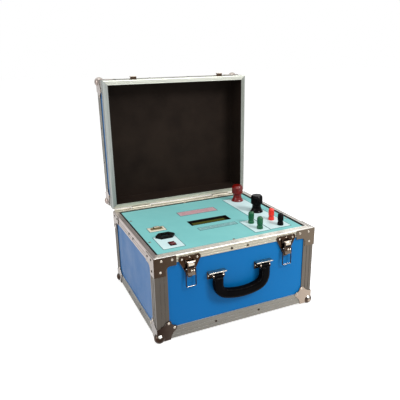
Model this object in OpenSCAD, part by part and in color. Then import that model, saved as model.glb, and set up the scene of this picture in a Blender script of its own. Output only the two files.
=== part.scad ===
// Winding resistance meter built into a flight case with its lid open.
// The origin is the middle of the base board's underside, the front faces -Y.

/* [Case] */
// Outer width of the case
case_w = 420; // [380:5:480]
// Outer depth of the case
case_d = 350; // [330:5:400]
// Height of the base, from the bottom rails to the rim
base_h = 206; // [190:2:240]
// Height of the lid, from its rim to its top rails
lid_h = 76; // [72:1:110]
// Thickness of the laminated boards
board_t = 9; // [6:0.5:10]

/* [Edge extrusions] */
// Wall of the aluminium angles
edge_t = 2; // [1.6:0.1:2.4]
// Leg of the angles along the edges
edge_leg = 30; // [26:1:34]
// Width of a groove along an angle
groove_w = 3.5; // [2:0.5:5]
// Depth of a groove along an angle
groove_depth = 0.7; // [0.3:0.1:0.9]
// Top width of the front rim
rim_front_w = 20; // [18:1:24]
// Top width of the side and back rims
rim_side_w = 12; // [11.5:0.5:14]
// Height of the front rim's face
rim_front_face = 17; // [14:1:24]
// Height of the other rims' faces
rim_side_face = 22; // [20:1:26]

/* [Corner fittings] */
// Radius of the ball on a bottom or lid corner
ball_r = 13; // [12:0.5:14]
// How far inside each face the ball's centre lies
ball_in = 6.2; // [6:0.1:7]
// Reach of a corner fitting's flange
flange_leg = 50; // [42:1:56]
// Thickness of the pressed steel fittings
plate_t = 1.2; // [0.8:0.1:1.6]
// Length of a rim brace along the rim
brace_len = 52; // [44:1:54]
// Length of a rim brace down the post
brace_drop = 45; // [38:1:50]
// Width of a brace's upright leg
brace_leg_w = 26; // [22:1:30]
// Width of a brace's level leg
brace_leg_h = 23; // [20:1:26]

/* [Instrument panel] */
// Thickness of the instrument panel
panel_t = 3; // [2:0.5:4]
// Width of the black gasket around the panel
gasket_w = 6.8; // [5:0.2:8]
// Width of the battens under the panel
batten_w = 16; // [12:1:20]
// Height of the battens under the panel
batten_h = 15; // [10:1:20]

/* [Display] */
// Width of the display frame
lcd_w = 114; // [100:1:124]
// Depth of the display frame, front to back
lcd_d = 35; // [30:1:40]
// Depth of the display's recess
lcd_recess = 4; // [3:0.5:6]
// Wall of the display frame
lcd_wall = 2; // [1.5:0.5:3]

/* [Mains inlet and switch] */
// Width over the points of the inlet's flange
inlet_w = 49; // [46:0.5:52]
// Depth of the inlet's flange
inlet_d = 27; // [25:0.5:30]
// Height of the inlet's flange
inlet_flange = 7; // [5:0.5:9]
// Width of the socket's cavity
socket_w = 24.4; // [24:0.1:25]
// Depth of the socket's cavity, front to back
socket_d = 16.8; // [16.4:0.1:17.2]
// How deep the socket goes
socket_deep = 17.5; // [16:0.5:20]
// How far below the mouth the pins end
pin_below = 5.2; // [5:0.1:6]
// Length of the switch frame
switch_l = 21; // [20:0.5:24]
// Width of the switch frame
switch_w = 15; // [14:0.5:18]
// Angle that the rocker turns through
rocker_swing = 22; // [18:1:24]

/* [Terminals] */
// Radius of a current terminal's foot
big_foot_r = 17.5; // [15:0.5:18]
// Height of a current terminal's fixed collar
big_collar_h = 18.7; // [16:0.1:22]
// Height of a current terminal, over its cap
big_h = 47.5; // [44:0.5:52]
// Radius of a current terminal's stud
big_stud_r = 5; // [4:0.5:6]
// Radius of a sense terminal's foot
small_foot_r = 7.6; // [7:0.1:8.5]
// Height of a sense terminal's fixed collar
small_collar_h = 9.5; // [8:0.5:11]
// Height of a sense terminal, over its cap
small_h = 31; // [28:1:34]
// Radius of a sense terminal's stud
small_stud_r = 3; // [2.8:0.1:3.4]
// Radius of the plug socket in a sense terminal's stud
plug_r = 2.02; // [2:0.01:2.1]
// Depth of the plug socket
plug_deep = 16; // [14:1:18]

/* [Handle] */
// Distance between the middles of the handle's two legs
handle_span = 124; // [114:2:136]
// Drop from the handle's pivot to the middle of its grip
handle_drop = 53; // [46:1:60]
// Height of the handle's pivot above the base board's underside
handle_z = 136; // [120:1:150]
// Width of the grip across its section
grip_w = 24; // [20:1:26]
// Thickness of the grip, front to back
grip_t = 19; // [16:1:21]
// Radius of the handle's pivot pins
handle_pin_r = 2.5; // [2:0.5:3]

/* [Latches] */
// Distance of each latch and hinge from the side of the case
latch_in = 83; // [81:1:86]
// Width of a latch plate at its top
latch_w = 54; // [50:1:58]
// Length of a latch plate
latch_l = 54; // [48:1:58]
// Width of a latch lever
lever_w = 17.4; // [15:0.2:18]
// Length of a latch lever, below its pivot
lever_l = 27; // [24:1:30]
// Radius of the bail's wire
wire_r = 1.25; // [1:0.05:1.5]
// Distance of the bail's pivot below the lever's
bail_pivot_drop = 15.5; // [13:0.5:17]
// Radius of a latch pin
latch_pin_r = 1.6; // [1.4:0.1:2]
// Angle that a latch lever turns through
lever_swing = 110; // [90:5:120]

/* [Hinges] */
// Width of a hinge
hinge_w = 56; // [48:2:64]
// Radius of a hinge's barrel
barrel_r = 3.6; // [3.2:0.1:4]
// Radius of a hinge pin
hinge_pin_r = 1.8; // [1.5:0.1:2]
// Height of a hinge's leaf
leaf_h = 18; // [14:1:19]

/* [Hidden] */
$fn = 48;
overrun = 1;
seat_gap = 0.2;
pin_clear = 0.05;
mitre_gap = 0.1;

low_z = -edge_t;
rim_z = low_z + base_h;
front_y = -case_d / 2;
back_y = case_d / 2;
board_in = edge_t + board_t;
lid_gap = 0.4;
lid_z = rim_z + lid_gap;
lid_top = lid_z + lid_h;
hinge_y = back_y + barrel_r + seat_gap;
hinge_z = rim_z + lid_gap / 2;
side_faces = [rim_front_face, rim_side_face, rim_side_face, rim_side_face];
lid_faces = [for (side = [0:3]) rim_side_face];
side_tops = [rim_front_w, rim_side_w, rim_side_w, rim_side_w];
lid_tops = [for (side = [0:3]) rim_side_w];
groove_shares = [0.3, 0.62];
edge_round = 2.4;

panel_top = rim_z - edge_t - seat_gap;
panel_low = panel_top - panel_t;
panel_w = case_w - 2 * (board_in + gasket_w);
panel_d = case_d - 2 * (board_in + gasket_w);

// Places on the panel, as shares of the case's width and depth from its middle
lcd_at = share_place([0.002, -0.018]);
inlet_at = share_place([-0.338, -0.176]);
switch_at = share_place([-0.338, -0.312]);
port_at = share_place([-0.342, -0.01]);
big_red_at = share_place([0.352, 0.309]);
big_black_at = share_place([0.352, -0.006]);
green_rear_at = share_place([0.211, -0.211]);
green_front_at = share_place([0.211, -0.334]);
red_at = share_place([0.353, -0.216]);
black_at = share_place([0.353, -0.338]);
big_places = [big_red_at, big_black_at];
small_places = [green_rear_at, green_front_at, red_at, black_at];

function share_place(share) = [share[0] * case_w, share[1] * case_d];
function side_length(side) = side % 2 == 0 ? case_w : case_d;
function before(side) = (side + 3) % 4;
function after(side) = (side + 1) % 4;

// Puts a piece at each corner in turn, with +X along that side and +Y inwards
module at_side(side) {
  places = [
    [-case_w / 2, front_y], [case_w / 2, front_y],
    [case_w / 2, back_y], [-case_w / 2, back_y],
  ];
  translate([places[side][0], places[side][1], 0]) rotate(90 * side) children();
}

// Turns the closed lid about its hinge to where it stands open
module open_lid() {
  translate([0, hinge_y, hinge_z])
    rotate([-90, 0, 0])
      translate([0, -hinge_y, -hinge_z])
        children();
}

// Sets the lid's shell upside down over the base
module lid_shell() {
  open_lid() translate([0, 0, lid_top]) mirror([0, 0, 1]) children();
}

// Section of an aluminium angle, with its outer corner at the origin
module angle_profile(leg_a, leg_b) {
  difference() {
    union() {
      square([leg_a, edge_t]);
      square([edge_t, leg_b]);
    }
    for (share = groove_shares) {
      translate([leg_a * share, -overrun]) square([groove_w, groove_depth + overrun]);
      translate([-overrun, leg_b * share]) square([groove_depth + overrun, groove_w]);
    }
    difference() {
      translate([-overrun, -overrun]) square(edge_round + overrun);
      translate([edge_round, edge_round]) circle(edge_round);
    }
  }
}

// An upright angle with mitred feet, cut off below the rim's two faces
module post(height, face_x, face_y) {
  difference() {
    linear_extrude(height) angle_profile(edge_leg, edge_leg);
    mitre_cut(edge_leg);
    mirror([1, -1, 0]) mitre_cut(edge_leg);
    translate([-overrun, -overrun, height - face_x])
      cube([edge_leg + 2 * overrun, edge_t + overrun, face_x + overrun]);
    translate([-overrun, -overrun, height - face_y])
      cube([edge_t + overrun, edge_leg + 2 * overrun, face_y + overrun]);
  }
}

// What a post's foot loses to the level rail on its +X side
module mitre_cut(leg) {
  translate([0, leg + overrun, 0])
    rotate([90, 0, 0])
      linear_extrude(leg + 2 * overrun)
        polygon([[-overrun, -overrun], [leg + overrun, -overrun],
                 [leg + overrun, leg + overrun], [-overrun, -overrun]]);
}

// Four-sided outline that tapers inwards at each end, short by the gap at a mitre
module mitre_outline(length, width) {
  far = length - mitre_gap;
  polygon([[mitre_gap, 0], [far, 0], [far - width, width], [mitre_gap + width, width]]);
}

// A level angle along a bottom edge, mitred in the face and underneath
module bottom_rail(length) {
  intersection() {
    rotate([90, 0, 90]) linear_extrude(length) angle_profile(edge_leg, edge_leg);
    linear_extrude(edge_leg) mitre_outline(length, edge_leg);
    translate([0, edge_leg, 0]) rotate([90, 0, 0]) linear_extrude(edge_leg) mitre_outline(length, edge_leg);
  }
}

// A rim angle with its top at zero, mitred to its neighbours' widths
module rim_rail(length, width, face, width_before, width_after) {
  intersection() {
    rotate([90, 0, 90]) linear_extrude(length) mirror([0, 1]) angle_profile(width, face);
    translate([0, 0, -face])
      linear_extrude(face)
        polygon([[mitre_gap, 0], [length - mitre_gap, 0],
                 [length - mitre_gap - width_after, width], [mitre_gap + width_before, width]]);
  }
}

module shell_rails() {
  for (side = [0:3])
    at_side(side) bottom_rail(side_length(side));
}

module shell_posts(height, faces) {
  for (side = [0:3])
    at_side(side) post(height, faces[side], faces[before(side)]);
}

module shell_rim(height, tops, faces) {
  translate([0, 0, height])
    for (side = [0:3])
      at_side(side)
        rim_rail(side_length(side), tops[side], faces[side], tops[before(side)], tops[after(side)]);
}

// Flange of a corner fitting: hollowed edges that run out to two round lobes
flange_foot = 0.64;

module flange_outline() {
  edge = [[flange_foot, 0], [0.67, 0.16], [0.76, 0.32], [0.9, 0.45], [0.94, 0.54]];
  shares = concat([[0, 0]], edge, [for (i = [4:-1:0]) [edge[i][1], edge[i][0]]]);
  lobe_r = flange_leg * 0.13;
  translate([-plate_t, -plate_t]) square([plate_t + lobe_r, plate_t + lobe_r]);
  polygon([for (share = shares) share * flange_leg]);
  for (share = [[0.56, 0.83], [0.83, 0.56]])
    translate(share * flange_leg) circle(lobe_r);
}

// A pressed steel corner with its ball, wholly outside the case's faces
module ball_corner() {
  reach = flange_leg * flange_foot;
  difference() {
    union() {
      translate([0, 0, -plate_t]) linear_extrude(plate_t) flange_outline();
      rotate([90, 0, 0]) linear_extrude(plate_t) flange_outline();
      rotate([0, -90, 0]) linear_extrude(plate_t) flange_outline();
      translate([-plate_t, -plate_t, -plate_t]) cube([reach + plate_t, plate_t, plate_t]);
      translate([-plate_t, -plate_t, -plate_t]) cube([plate_t, reach + plate_t, plate_t]);
      translate([-plate_t, -plate_t, -plate_t]) cube([plate_t, plate_t, reach + plate_t]);
      translate([ball_in, ball_in, ball_in]) sphere(ball_r, $fn = 64);
    }
    cube(flange_leg + 2 * overrun);
  }
}

module shell_corners() {
  for (side = [0:3])
    at_side(side) ball_corner();
}

// L-shaped outline of one face of a rim brace, with a round inner corner
module brace_outline() {
  fillet_r = brace_leg_w * 0.45;
  difference() {
    union() {
      translate([-plate_t, -brace_leg_h]) square([brace_len + plate_t, brace_leg_h]);
      translate([-plate_t, -brace_drop]) square([brace_leg_w + plate_t, brace_drop]);
      translate([brace_leg_w, -brace_leg_h - fillet_r]) square(fillet_r);
    }
    translate([brace_leg_w + fillet_r, -brace_leg_h - fillet_r]) circle(fillet_r);
  }
}

module rim_brace() {
  translate([0, 0, -seat_gap]) {
    rotate([90, 0, 0]) linear_extrude(plate_t) brace_outline();
    mirror([1, -1, 0]) rotate([90, 0, 0]) linear_extrude(plate_t) brace_outline();
  }
}

// Base shell

module base_board() {
  color("saddlebrown")
    translate([-case_w / 2 + board_in, front_y + board_in, 0])
      cube([case_w - 2 * board_in, case_d - 2 * board_in, board_t]);
}

module long_board(height) {
  cube([case_w - 2 * edge_t, board_t, height]);
}

module short_board(height) {
  translate([0, mitre_gap, 0]) cube([board_t, case_d - 2 * (board_in + mitre_gap), height]);
}

wall_h = base_h - 2 * edge_t;
lid_wall_h = lid_h - 2 * edge_t;

module front_board() {
  color("steelblue") translate([-case_w / 2 + edge_t, front_y + edge_t, 0]) long_board(wall_h);
}

module back_board() {
  color("steelblue") translate([-case_w / 2 + edge_t, back_y - board_in, 0]) long_board(wall_h);
}

module left_board() {
  color("steelblue") translate([-case_w / 2 + edge_t, front_y + board_in, 0]) short_board(wall_h);
}

module right_board() {
  color("steelblue") translate([case_w / 2 - board_in, front_y + board_in, 0]) short_board(wall_h);
}

module corner_posts() {
  color("silver") translate([0, 0, low_z]) shell_posts(base_h, side_faces);
}

module bottom_rails() {
  color("silver") translate([0, 0, low_z]) shell_rails();
}

module base_rim() {
  color("gainsboro") translate([0, 0, low_z]) shell_rim(base_h, side_tops, side_faces);
}

module base_corners() {
  color("lightgray") translate([0, 0, low_z]) shell_corners();
}

module rim_braces() {
  color("dimgray")
    translate([0, 0, rim_z])
      for (side = [0:3])
        at_side(side) rim_brace();
}

// Instrument panel and what seats it

module panel_ledge() {
  inner_w = case_w - 2 * board_in;
  inner_d = case_d - 2 * board_in;
  color("tan")
    translate([0, 0, panel_low - batten_h]) {
      for (end = [0, 1])
        translate([-inner_w / 2, end * (inner_d - batten_w) - inner_d / 2, 0])
          cube([inner_w, batten_w, batten_h]);
      for (end = [0, 1])
        translate([end * (inner_w - batten_w) - inner_w / 2, batten_w + mitre_gap - inner_d / 2, 0])
          cube([batten_w, inner_d - 2 * (batten_w + mitre_gap), batten_h]);
    }
}

module panel_gasket() {
  color([0.05, 0.05, 0.05])
    translate([0, 0, panel_low])
      linear_extrude(panel_t)
        difference() {
          square([panel_w + 2 * gasket_w, panel_d + 2 * gasket_w], center = true);
          square([panel_w, panel_d], center = true);
        }
}

cut_clear = 0.4;
socket_wall = 1.8;
socket_floor = 3;
body_w = socket_w + 2 * socket_wall;
body_d = socket_d + 2 * socket_wall;
body_low = socket_deep - inlet_flange + socket_floor;
port_w = 30.8;
port_d = 12.5;
shell_w = 16.9;
shell_d = 8.3;
shell_h = 5.9;
jack_pitch = 24.99;
jack_r = 1.6;

module instrument_panel() {
  color([0.5, 0.82, 0.78])
    translate([0, 0, panel_low])
      linear_extrude(panel_t)
        difference() {
          square([panel_w, panel_d], center = true);
          translate(lcd_at) square([lcd_w, lcd_d], center = true);
          translate(inlet_at) square([body_w + cut_clear, body_d + cut_clear], center = true);
          translate(switch_at)
            square([switch_w - 2 * switch_lip, switch_l - 2 * switch_lip], center = true);
          translate(port_at) square([shell_w + cut_clear, shell_d + cut_clear], center = true);
          for (place = big_places)
            translate(place) circle(big_stud_r + cut_clear);
          for (place = small_places)
            translate(place) circle(small_stud_r + cut_clear);
          for (way = [-1, 1])
            translate([port_at[0] + way * jack_pitch / 2, port_at[1]]) circle(jack_r);
        }
}

// Display

lcd_deep = 8;
lcd_window_t = 2;

module lcd_bezel() {
  color([0.05, 0.05, 0.05])
    translate([lcd_at[0], lcd_at[1], panel_top - lcd_deep])
      linear_extrude(lcd_deep)
        difference() {
          square([lcd_w, lcd_d], center = true);
          square([lcd_w - 2 * lcd_wall, lcd_d - 2 * lcd_wall], center = true);
        }
}

module lcd_window() {
  color([0.24, 0.24, 0.08])
    translate([lcd_at[0], lcd_at[1], panel_top - lcd_recess - lcd_window_t / 2])
      cube([lcd_w - 2 * lcd_wall, lcd_d - 2 * lcd_wall, lcd_window_t], center = true);
}

module lcd_module() {
  board_over = 6;
  module_t = 1.6;
  frame_top = lcd_recess + lcd_window_t;
  color("darkgreen") {
    translate([lcd_at[0], lcd_at[1], panel_top - lcd_deep - module_t / 2])
      cube([lcd_w + board_over, lcd_d + board_over, module_t], center = true);
    translate([lcd_at[0], lcd_at[1], panel_top - (lcd_deep + frame_top) / 2])
      cube([lcd_w - 2 * lcd_wall, lcd_d - 2 * lcd_wall, lcd_deep - frame_top], center = true);
  }
}

// Mains inlet, with its six-sided flange and the socket's two cut corners

blade_w = 4;
blade_t = 2;
blade_pitch = 14;
tab_l = 6;
socket_cut = 4;

module socket_outline(grow) {
  w = socket_w / 2 + grow;
  d = socket_d / 2 + grow;
  cut = socket_cut + grow / 2;
  polygon([[-w, -d], [w, -d], [w, d - cut], [w - cut, d], [cut - w, d], [-w, d - cut]]);
}

module blade_places() {
  for (way = [-1, 1])
    translate([way * blade_pitch / 2, -blade_t]) children();
  translate([0, blade_t]) children();
}

module mains_inlet() {
  flat_half = inlet_w * 0.29;
  bevel = 1.2;
  flange = [
    [-inlet_w / 2, 0], [-flat_half, -inlet_d / 2], [flat_half, -inlet_d / 2],
    [inlet_w / 2, 0], [flat_half, inlet_d / 2], [-flat_half, inlet_d / 2],
  ];
  color([0.08, 0.08, 0.08])
    translate([inlet_at[0], inlet_at[1], panel_top])
      difference() {
        union() {
          linear_extrude(inlet_flange - bevel) polygon(flange);
          linear_extrude(inlet_flange) polygon(flange * (1 - 2 * bevel / inlet_d));
          translate([-body_w / 2, -body_d / 2, -body_low]) cube([body_w, body_d, body_low]);
        }
        translate([0, 0, inlet_flange - socket_deep])
          linear_extrude(socket_deep + overrun) socket_outline(0);
        translate([0, 0, -body_low - overrun])
          linear_extrude(body_low)
            blade_places() square([blade_t, blade_w], center = true);
      }
}

module inlet_pins() {
  color("lightgray")
    translate([inlet_at[0], inlet_at[1], panel_top - body_low - tab_l])
      linear_extrude(body_low + tab_l + inlet_flange - pin_below)
        blade_places() square([blade_t, blade_w], center = true);
}

// Rocker switch

switch_lip = 1;
switch_flange = 2;
switch_deep = 14;
switch_wall = 1.2;
rocker_clear = 0.3;
rocker_lift = 0.5;
rocker_r = switch_l / 2 - switch_wall - rocker_clear;
rocker_pivot_z = panel_top + rocker_lift;
rocker_lip = 4;
rocker_dip = 2.4;

module switch_bezel() {
  color([0.06, 0.06, 0.06])
    translate([switch_at[0], switch_at[1], panel_top])
      difference() {
        union() {
          translate([-switch_w / 2, -switch_l / 2, 0]) cube([switch_w, switch_l, switch_flange]);
          translate([switch_lip - switch_w / 2, switch_lip - switch_l / 2, -switch_deep])
            cube([switch_w - 2 * switch_lip, switch_l - 2 * switch_lip, switch_deep]);
        }
        translate([switch_wall - switch_w / 2, switch_wall - switch_l / 2, rocker_lift - rocker_r])
          cube([switch_w - 2 * switch_wall, switch_l - 2 * switch_wall, switch_deep]);
      }
}

module switch_rocker() {
  rocker_w = switch_w - 2 * switch_wall - 2 * seat_gap;
  top_y = rocker_r + overrun;
  color([0.75, 0.05, 0.05])
    translate([switch_at[0] - rocker_w / 2, switch_at[1], rocker_pivot_z])
      rotate([-rocker_swing / 2, 0, 0])
        rotate([90, 0, 90])
          linear_extrude(rocker_w)
            intersection() {
              circle(rocker_r - seat_gap);
              polygon([[-top_y, rocker_lip], [0, rocker_dip], [top_y, rocker_lip],
                       [top_y, -rocker_lip - rocker_dip], [-top_y, -rocker_lip - rocker_dip]]);
            }
}

// Nine-way serial port

module port_outline(grow) {
  w = shell_w / 2 + grow;
  d = shell_d / 2 + grow;
  lean = shell_d * 0.18;
  polygon([[-w + lean, -d], [w - lean, -d], [w, d], [-w, d]]);
}

port_flange = 1;
port_wall = 0.5;
port_deep = 9;

module serial_port() {
  nut_r = 2.8;
  nut_h = 4.6;
  color("lightgoldenrodyellow")
    translate([port_at[0], port_at[1], panel_top]) {
      difference() {
        union() {
          translate([-port_w / 2, -port_d / 2, 0]) cube([port_w, port_d, port_flange]);
          linear_extrude(shell_h) port_outline(0);
          for (way = [-1, 1])
            translate([way * jack_pitch / 2, 0, 0]) cylinder(r = nut_r, h = nut_h, $fn = 6);
        }
        translate([0, 0, -overrun]) linear_extrude(shell_h + 2 * overrun) port_outline(-port_wall);
      }
      for (way = [-1, 1])
        translate([way * jack_pitch / 2, 0, -port_deep])
          cylinder(r = jack_r, h = port_deep);
    }
}

module port_insert() {
  pin_r = 0.6;
  pin_pitch = 2.77;
  row_gap = 1.42;
  insert_below = 1;
  rise = shell_h - insert_below;
  color("ivory")
    translate([port_at[0], port_at[1], panel_top - port_deep])
      difference() {
        linear_extrude(port_deep + rise) port_outline(-port_wall);
        for (row = [0, 1])
          for (pin = [0:4 - row])
            translate([(pin - (4 - row) / 2) * pin_pitch, (row * 2 - 1) * -row_gap, port_deep])
              cylinder(r = pin_r, h = rise + overrun);
      }
}

// Terminals. Each is a fixed collar and stud, and a cap that screws down on them.

stud_below = 12;
neck_share = 0.66;
big_neck_r = big_foot_r * neck_share;
small_neck_share = 0.86;
small_neck_r = small_foot_r * small_neck_share;
cap_gap = 0.3;
big_cap_cover = 8;
small_cap_cover = 2.6;
bore_over = 0.8;
plug_clear = 0.5;
big_nut_h = 8;
small_nut_h = 5;
big_stud_top = big_h - big_cap_cover;
small_stud_top = small_h - small_cap_cover;
plug_way_r = plug_r + plug_clear;

module at_place(place) {
  translate([place[0], place[1], panel_top]) children();
}

// Flared collar with a bead round its foot
module big_base() {
  foot_h = big_collar_h * 0.16;
  waist_h = big_collar_h * 0.62;
  bead_h = big_collar_h * 0.3;
  shoulder_r = big_foot_r * 0.86;
  bevel_r = big_foot_r * 0.05;
  rotate_extrude()
    polygon([
      [big_stud_r, 0], [big_foot_r, 0], [big_foot_r, foot_h * 0.6], [big_foot_r - bevel_r, foot_h],
      [shoulder_r, bead_h], [big_neck_r + bevel_r, waist_h], [big_neck_r, big_collar_h],
      [big_stud_r, big_collar_h],
    ]);
}

// Six-sided knob, turned to a cone below and a chamfer on top
module big_cap() {
  low = big_collar_h + cap_gap;
  wide_r = big_foot_r * 0.98;
  top_r = big_foot_r * 0.74;
  cone_h = big_h * 0.54;
  shoulder_h = big_h * 0.87;
  collar_r = big_neck_r + 0.025 * big_foot_r;
  collar_h = big_h * 0.04;
  line_h = big_h * 0.025;
  line_in = wide_r * 0.04;
  bore_top = big_stud_top + bore_over;
  difference() {
    intersection() {
      rotate_extrude()
        polygon([
          [0, low], [collar_r, low], [collar_r, low + collar_h], [wide_r, cone_h],
          [wide_r, shoulder_h], [top_r, big_h], [0, big_h],
        ]);
      cylinder(r = wide_r * 1.06, h = big_h + overrun, $fn = 6);
    }
    translate([0, 0, low - overrun])
      cylinder(r = big_stud_r + pin_clear, h = bore_top - low + overrun);
    translate([0, 0, cone_h + line_h])
      rotate_extrude()
        translate([wide_r - line_in, 0]) square([wide_r, line_h]);
  }
}

module small_base() {
  foot_h = small_collar_h * 0.62;
  rotate_extrude()
    polygon([
      [small_stud_r, 0], [small_foot_r, 0], [small_foot_r, foot_h],
      [small_neck_r, small_collar_h * 0.85], [small_neck_r, small_collar_h],
      [small_stud_r, small_collar_h],
    ]);
}

// Rounded cap with eight finger flutes
module small_cap() {
  low = small_collar_h + cap_gap;
  belly_r = small_foot_r * 0.98;
  top_r = small_foot_r * 0.66;
  neck_h = small_h * 0.032;
  belly_h = low + small_h * 0.13;
  shoulder_h = small_h * 0.84;
  brow_h = small_h * 0.92;
  bore_top = small_stud_top + bore_over / 2;
  flute_r = 1.5;
  difference() {
    rotate_extrude()
      polygon([
        [small_stud_r + pin_clear, low], [small_neck_r, low], [small_neck_r, low + neck_h],
        [belly_r, belly_h], [belly_r, shoulder_h], [belly_r * 0.9, brow_h],
        [top_r, small_h], [plug_way_r, small_h], [plug_way_r, bore_top],
        [small_stud_r + pin_clear, bore_top],
      ]);
    for (flute = [0:7])
      rotate((flute + 0.5) * 45)
        translate([belly_r + flute_r * 0.7, 0, belly_h + neck_h])
          cylinder(r = flute_r, h = small_h, $fn = 24);
  }
}

module big_red_base() {
  color([0.5, 0.06, 0.05]) at_place(big_red_at) big_base();
}

module big_black_base() {
  color([0.04, 0.04, 0.05]) at_place(big_black_at) big_base();
}

module green_bases() {
  color([0.05, 0.4, 0.22])
    for (place = [green_rear_at, green_front_at])
      at_place(place) small_base();
}

module red_base() {
  color([0.95, 0.25, 0.18]) at_place(red_at) small_base();
}

module black_base() {
  color([0.04, 0.04, 0.05]) at_place(black_at) small_base();
}

module terminal_studs() {
  color("goldenrod") {
    for (place = big_places)
      at_place(place)
        translate([0, 0, -panel_t - stud_below])
          cylinder(r = big_stud_r, h = big_stud_top + panel_t + stud_below);
    for (place = small_places)
      at_place(place)
        difference() {
          translate([0, 0, -panel_t - stud_below])
            cylinder(r = small_stud_r, h = small_stud_top + panel_t + stud_below);
          translate([0, 0, small_stud_top - plug_deep])
            cylinder(r = plug_r, h = plug_deep + overrun);
        }
  }
}

module stud_nut(stud_r, height) {
  translate([0, 0, -panel_t - height])
    difference() {
      cylinder(r = stud_r * 1.9, h = height, $fn = 6);
      translate([0, 0, -overrun]) cylinder(r = stud_r, h = height + 2 * overrun);
    }
}

module terminal_nuts() {
  color("darkgoldenrod") {
    for (place = big_places)
      at_place(place) stud_nut(big_stud_r, big_nut_h);
    for (place = small_places)
      at_place(place) stud_nut(small_stud_r, small_nut_h);
  }
}

module big_red_cap() {
  color([0.5, 0.06, 0.05]) at_place(big_red_at) big_cap();
}

module big_black_cap() {
  color([0.04, 0.04, 0.05]) at_place(big_black_at) big_cap();
}

module green_cap_rear() {
  color([0.05, 0.4, 0.22]) at_place(green_rear_at) small_cap();
}

module green_cap_front() {
  color([0.05, 0.4, 0.22]) at_place(green_front_at) small_cap();
}

module red_cap() {
  color([0.95, 0.25, 0.18]) at_place(red_at) small_cap();
}

module black_cap() {
  color([0.04, 0.04, 0.05]) at_place(black_at) small_cap();
}

// Inside the case

control_w = 190;
control_d = 120;
circuit_t = 1.6;
standoff_l = 30;
standoff_r = 4;
standoff_in = 8;
control_at = [-20, 20];

module control_board() {
  chip_w = 30;
  chip_h = 4;
  can_r = 9;
  can_h = 16;
  row_pitch = 34;
  color("seagreen")
    translate([control_at[0], control_at[1], panel_low - standoff_l - circuit_t]) {
      translate([-control_w / 2, -control_d / 2, 0]) cube([control_w, control_d, circuit_t]);
      for (column = [-1, 0, 1])
        translate([column * row_pitch * 1.4 - chip_w / 2, -chip_w * 0.8, -chip_h])
          cube([chip_w, chip_w * 0.7, chip_h]);
      for (column = [-1, 0, 1])
        translate([column * row_pitch, chip_w, -can_h])
          cylinder(r = can_r, h = can_h);
    }
}

module board_standoffs() {
  color("gold")
    for (way_x = [-1, 1], way_y = [-1, 1])
      translate([
        control_at[0] + way_x * (control_w / 2 - standoff_in),
        control_at[1] + way_y * (control_d / 2 - standoff_in),
        panel_low - standoff_l,
      ])
        cylinder(r = standoff_r, h = standoff_l, $fn = 6);
}

module transformer() {
  coil_r = 34;
  core_in = 26;
  bobbin_h = 44;
  bolt_r = 4;
  bolt_over = 8;
  bevel = 6;
  place = share_place([-0.3, 0.2]);
  color("chocolate")
    translate([place[0], place[1], board_t]) {
      rotate_extrude()
        difference() {
          translate([core_in / 2, 0]) square([coil_r + core_in / 2, bobbin_h]);
          translate([core_in / 2 + coil_r, bobbin_h]) rotate(45) square(bevel, center = true);
        }
      cylinder(r = core_in / 2, h = bobbin_h * 0.3);
      cylinder(r = bolt_r, h = bobbin_h + bolt_over);
    }
}

module power_supply() {
  supply_w = 180;
  supply_d = 98;
  supply_h = 42;
  vent_w = 3;
  vent_l = 60;
  vent_deep = 1;
  place = share_place([0.16, 0.16]);
  color("lightsteelblue")
    translate([place[0] - supply_w / 2, place[1] - supply_d / 2, board_t])
      difference() {
        cube([supply_w, supply_d, supply_h]);
        for (slot = [1:12])
          translate([slot * supply_w / 13, (supply_d - vent_l) / 2, supply_h - vent_deep])
            cube([vent_w, vent_l, vent_deep + overrun]);
      }
}

module heatsink() {
  sink_w = 150;
  sink_d = 60;
  sink_h = 40;
  foot_t = 6;
  fin_t = 2;
  fins = 15;
  place = share_place([0.12, -0.24]);
  color("gray")
    translate([place[0] - sink_w / 2, place[1] - sink_d / 2, board_t]) {
      cube([sink_w, sink_d, foot_t]);
      for (fin = [0:fins - 1])
        translate([fin * (sink_w - fin_t) / (fins - 1), 0, 0])
          cube([fin_t, sink_d, sink_h]);
    }
}

// Lid, drawn closed or upside down and turned to where it stands open

module lid_board() {
  color("steelblue")
    lid_shell()
      translate([-case_w / 2 + board_in, front_y + board_in, edge_t])
        cube([case_w - 2 * board_in, case_d - 2 * board_in, board_t]);
}

module lid_side_boards() {
  color("steelblue")
    lid_shell()
      translate([0, 0, edge_t]) {
        translate([-case_w / 2 + edge_t, front_y + edge_t, 0]) long_board(lid_wall_h);
        translate([-case_w / 2 + edge_t, back_y - board_in, 0]) long_board(lid_wall_h);
        translate([-case_w / 2 + edge_t, front_y + board_in, 0]) short_board(lid_wall_h);
        translate([case_w / 2 - board_in, front_y + board_in, 0]) short_board(lid_wall_h);
      }
}

module lid_rails() {
  color("silver") lid_shell() shell_rails();
}

module lid_posts() {
  color("silver") lid_shell() shell_posts(lid_h, lid_faces);
}

module lid_rim() {
  color("gainsboro") lid_shell() shell_rim(lid_h, lid_tops, lid_faces);
}

module lid_corners() {
  color("lightgray") lid_shell() shell_corners();
}

lining_t = 3;
catch_lift = 3;
hook_t = 2;

module lid_lining() {
  inner_w = case_w - 2 * board_in;
  inner_d = case_d - 2 * board_in;
  top_z = edge_t + board_t;
  side_z = top_z + lining_t + mitre_gap;
  side_h = lid_h - edge_t - side_z;
  color([0.12, 0.1, 0.08])
    lid_shell() {
      translate([-inner_w / 2, -inner_d / 2, top_z]) cube([inner_w, inner_d, lining_t]);
      for (end = [0, 1])
        translate([-inner_w / 2, end * (inner_d - lining_t) - inner_d / 2, side_z])
          cube([inner_w, lining_t, side_h]);
      for (end = [0, 1])
        translate([end * (inner_w - lining_t) - inner_w / 2, lining_t + mitre_gap - inner_d / 2, side_z])
          cube([lining_t, inner_d - 2 * (lining_t + mitre_gap), side_h]);
    }
}

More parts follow.
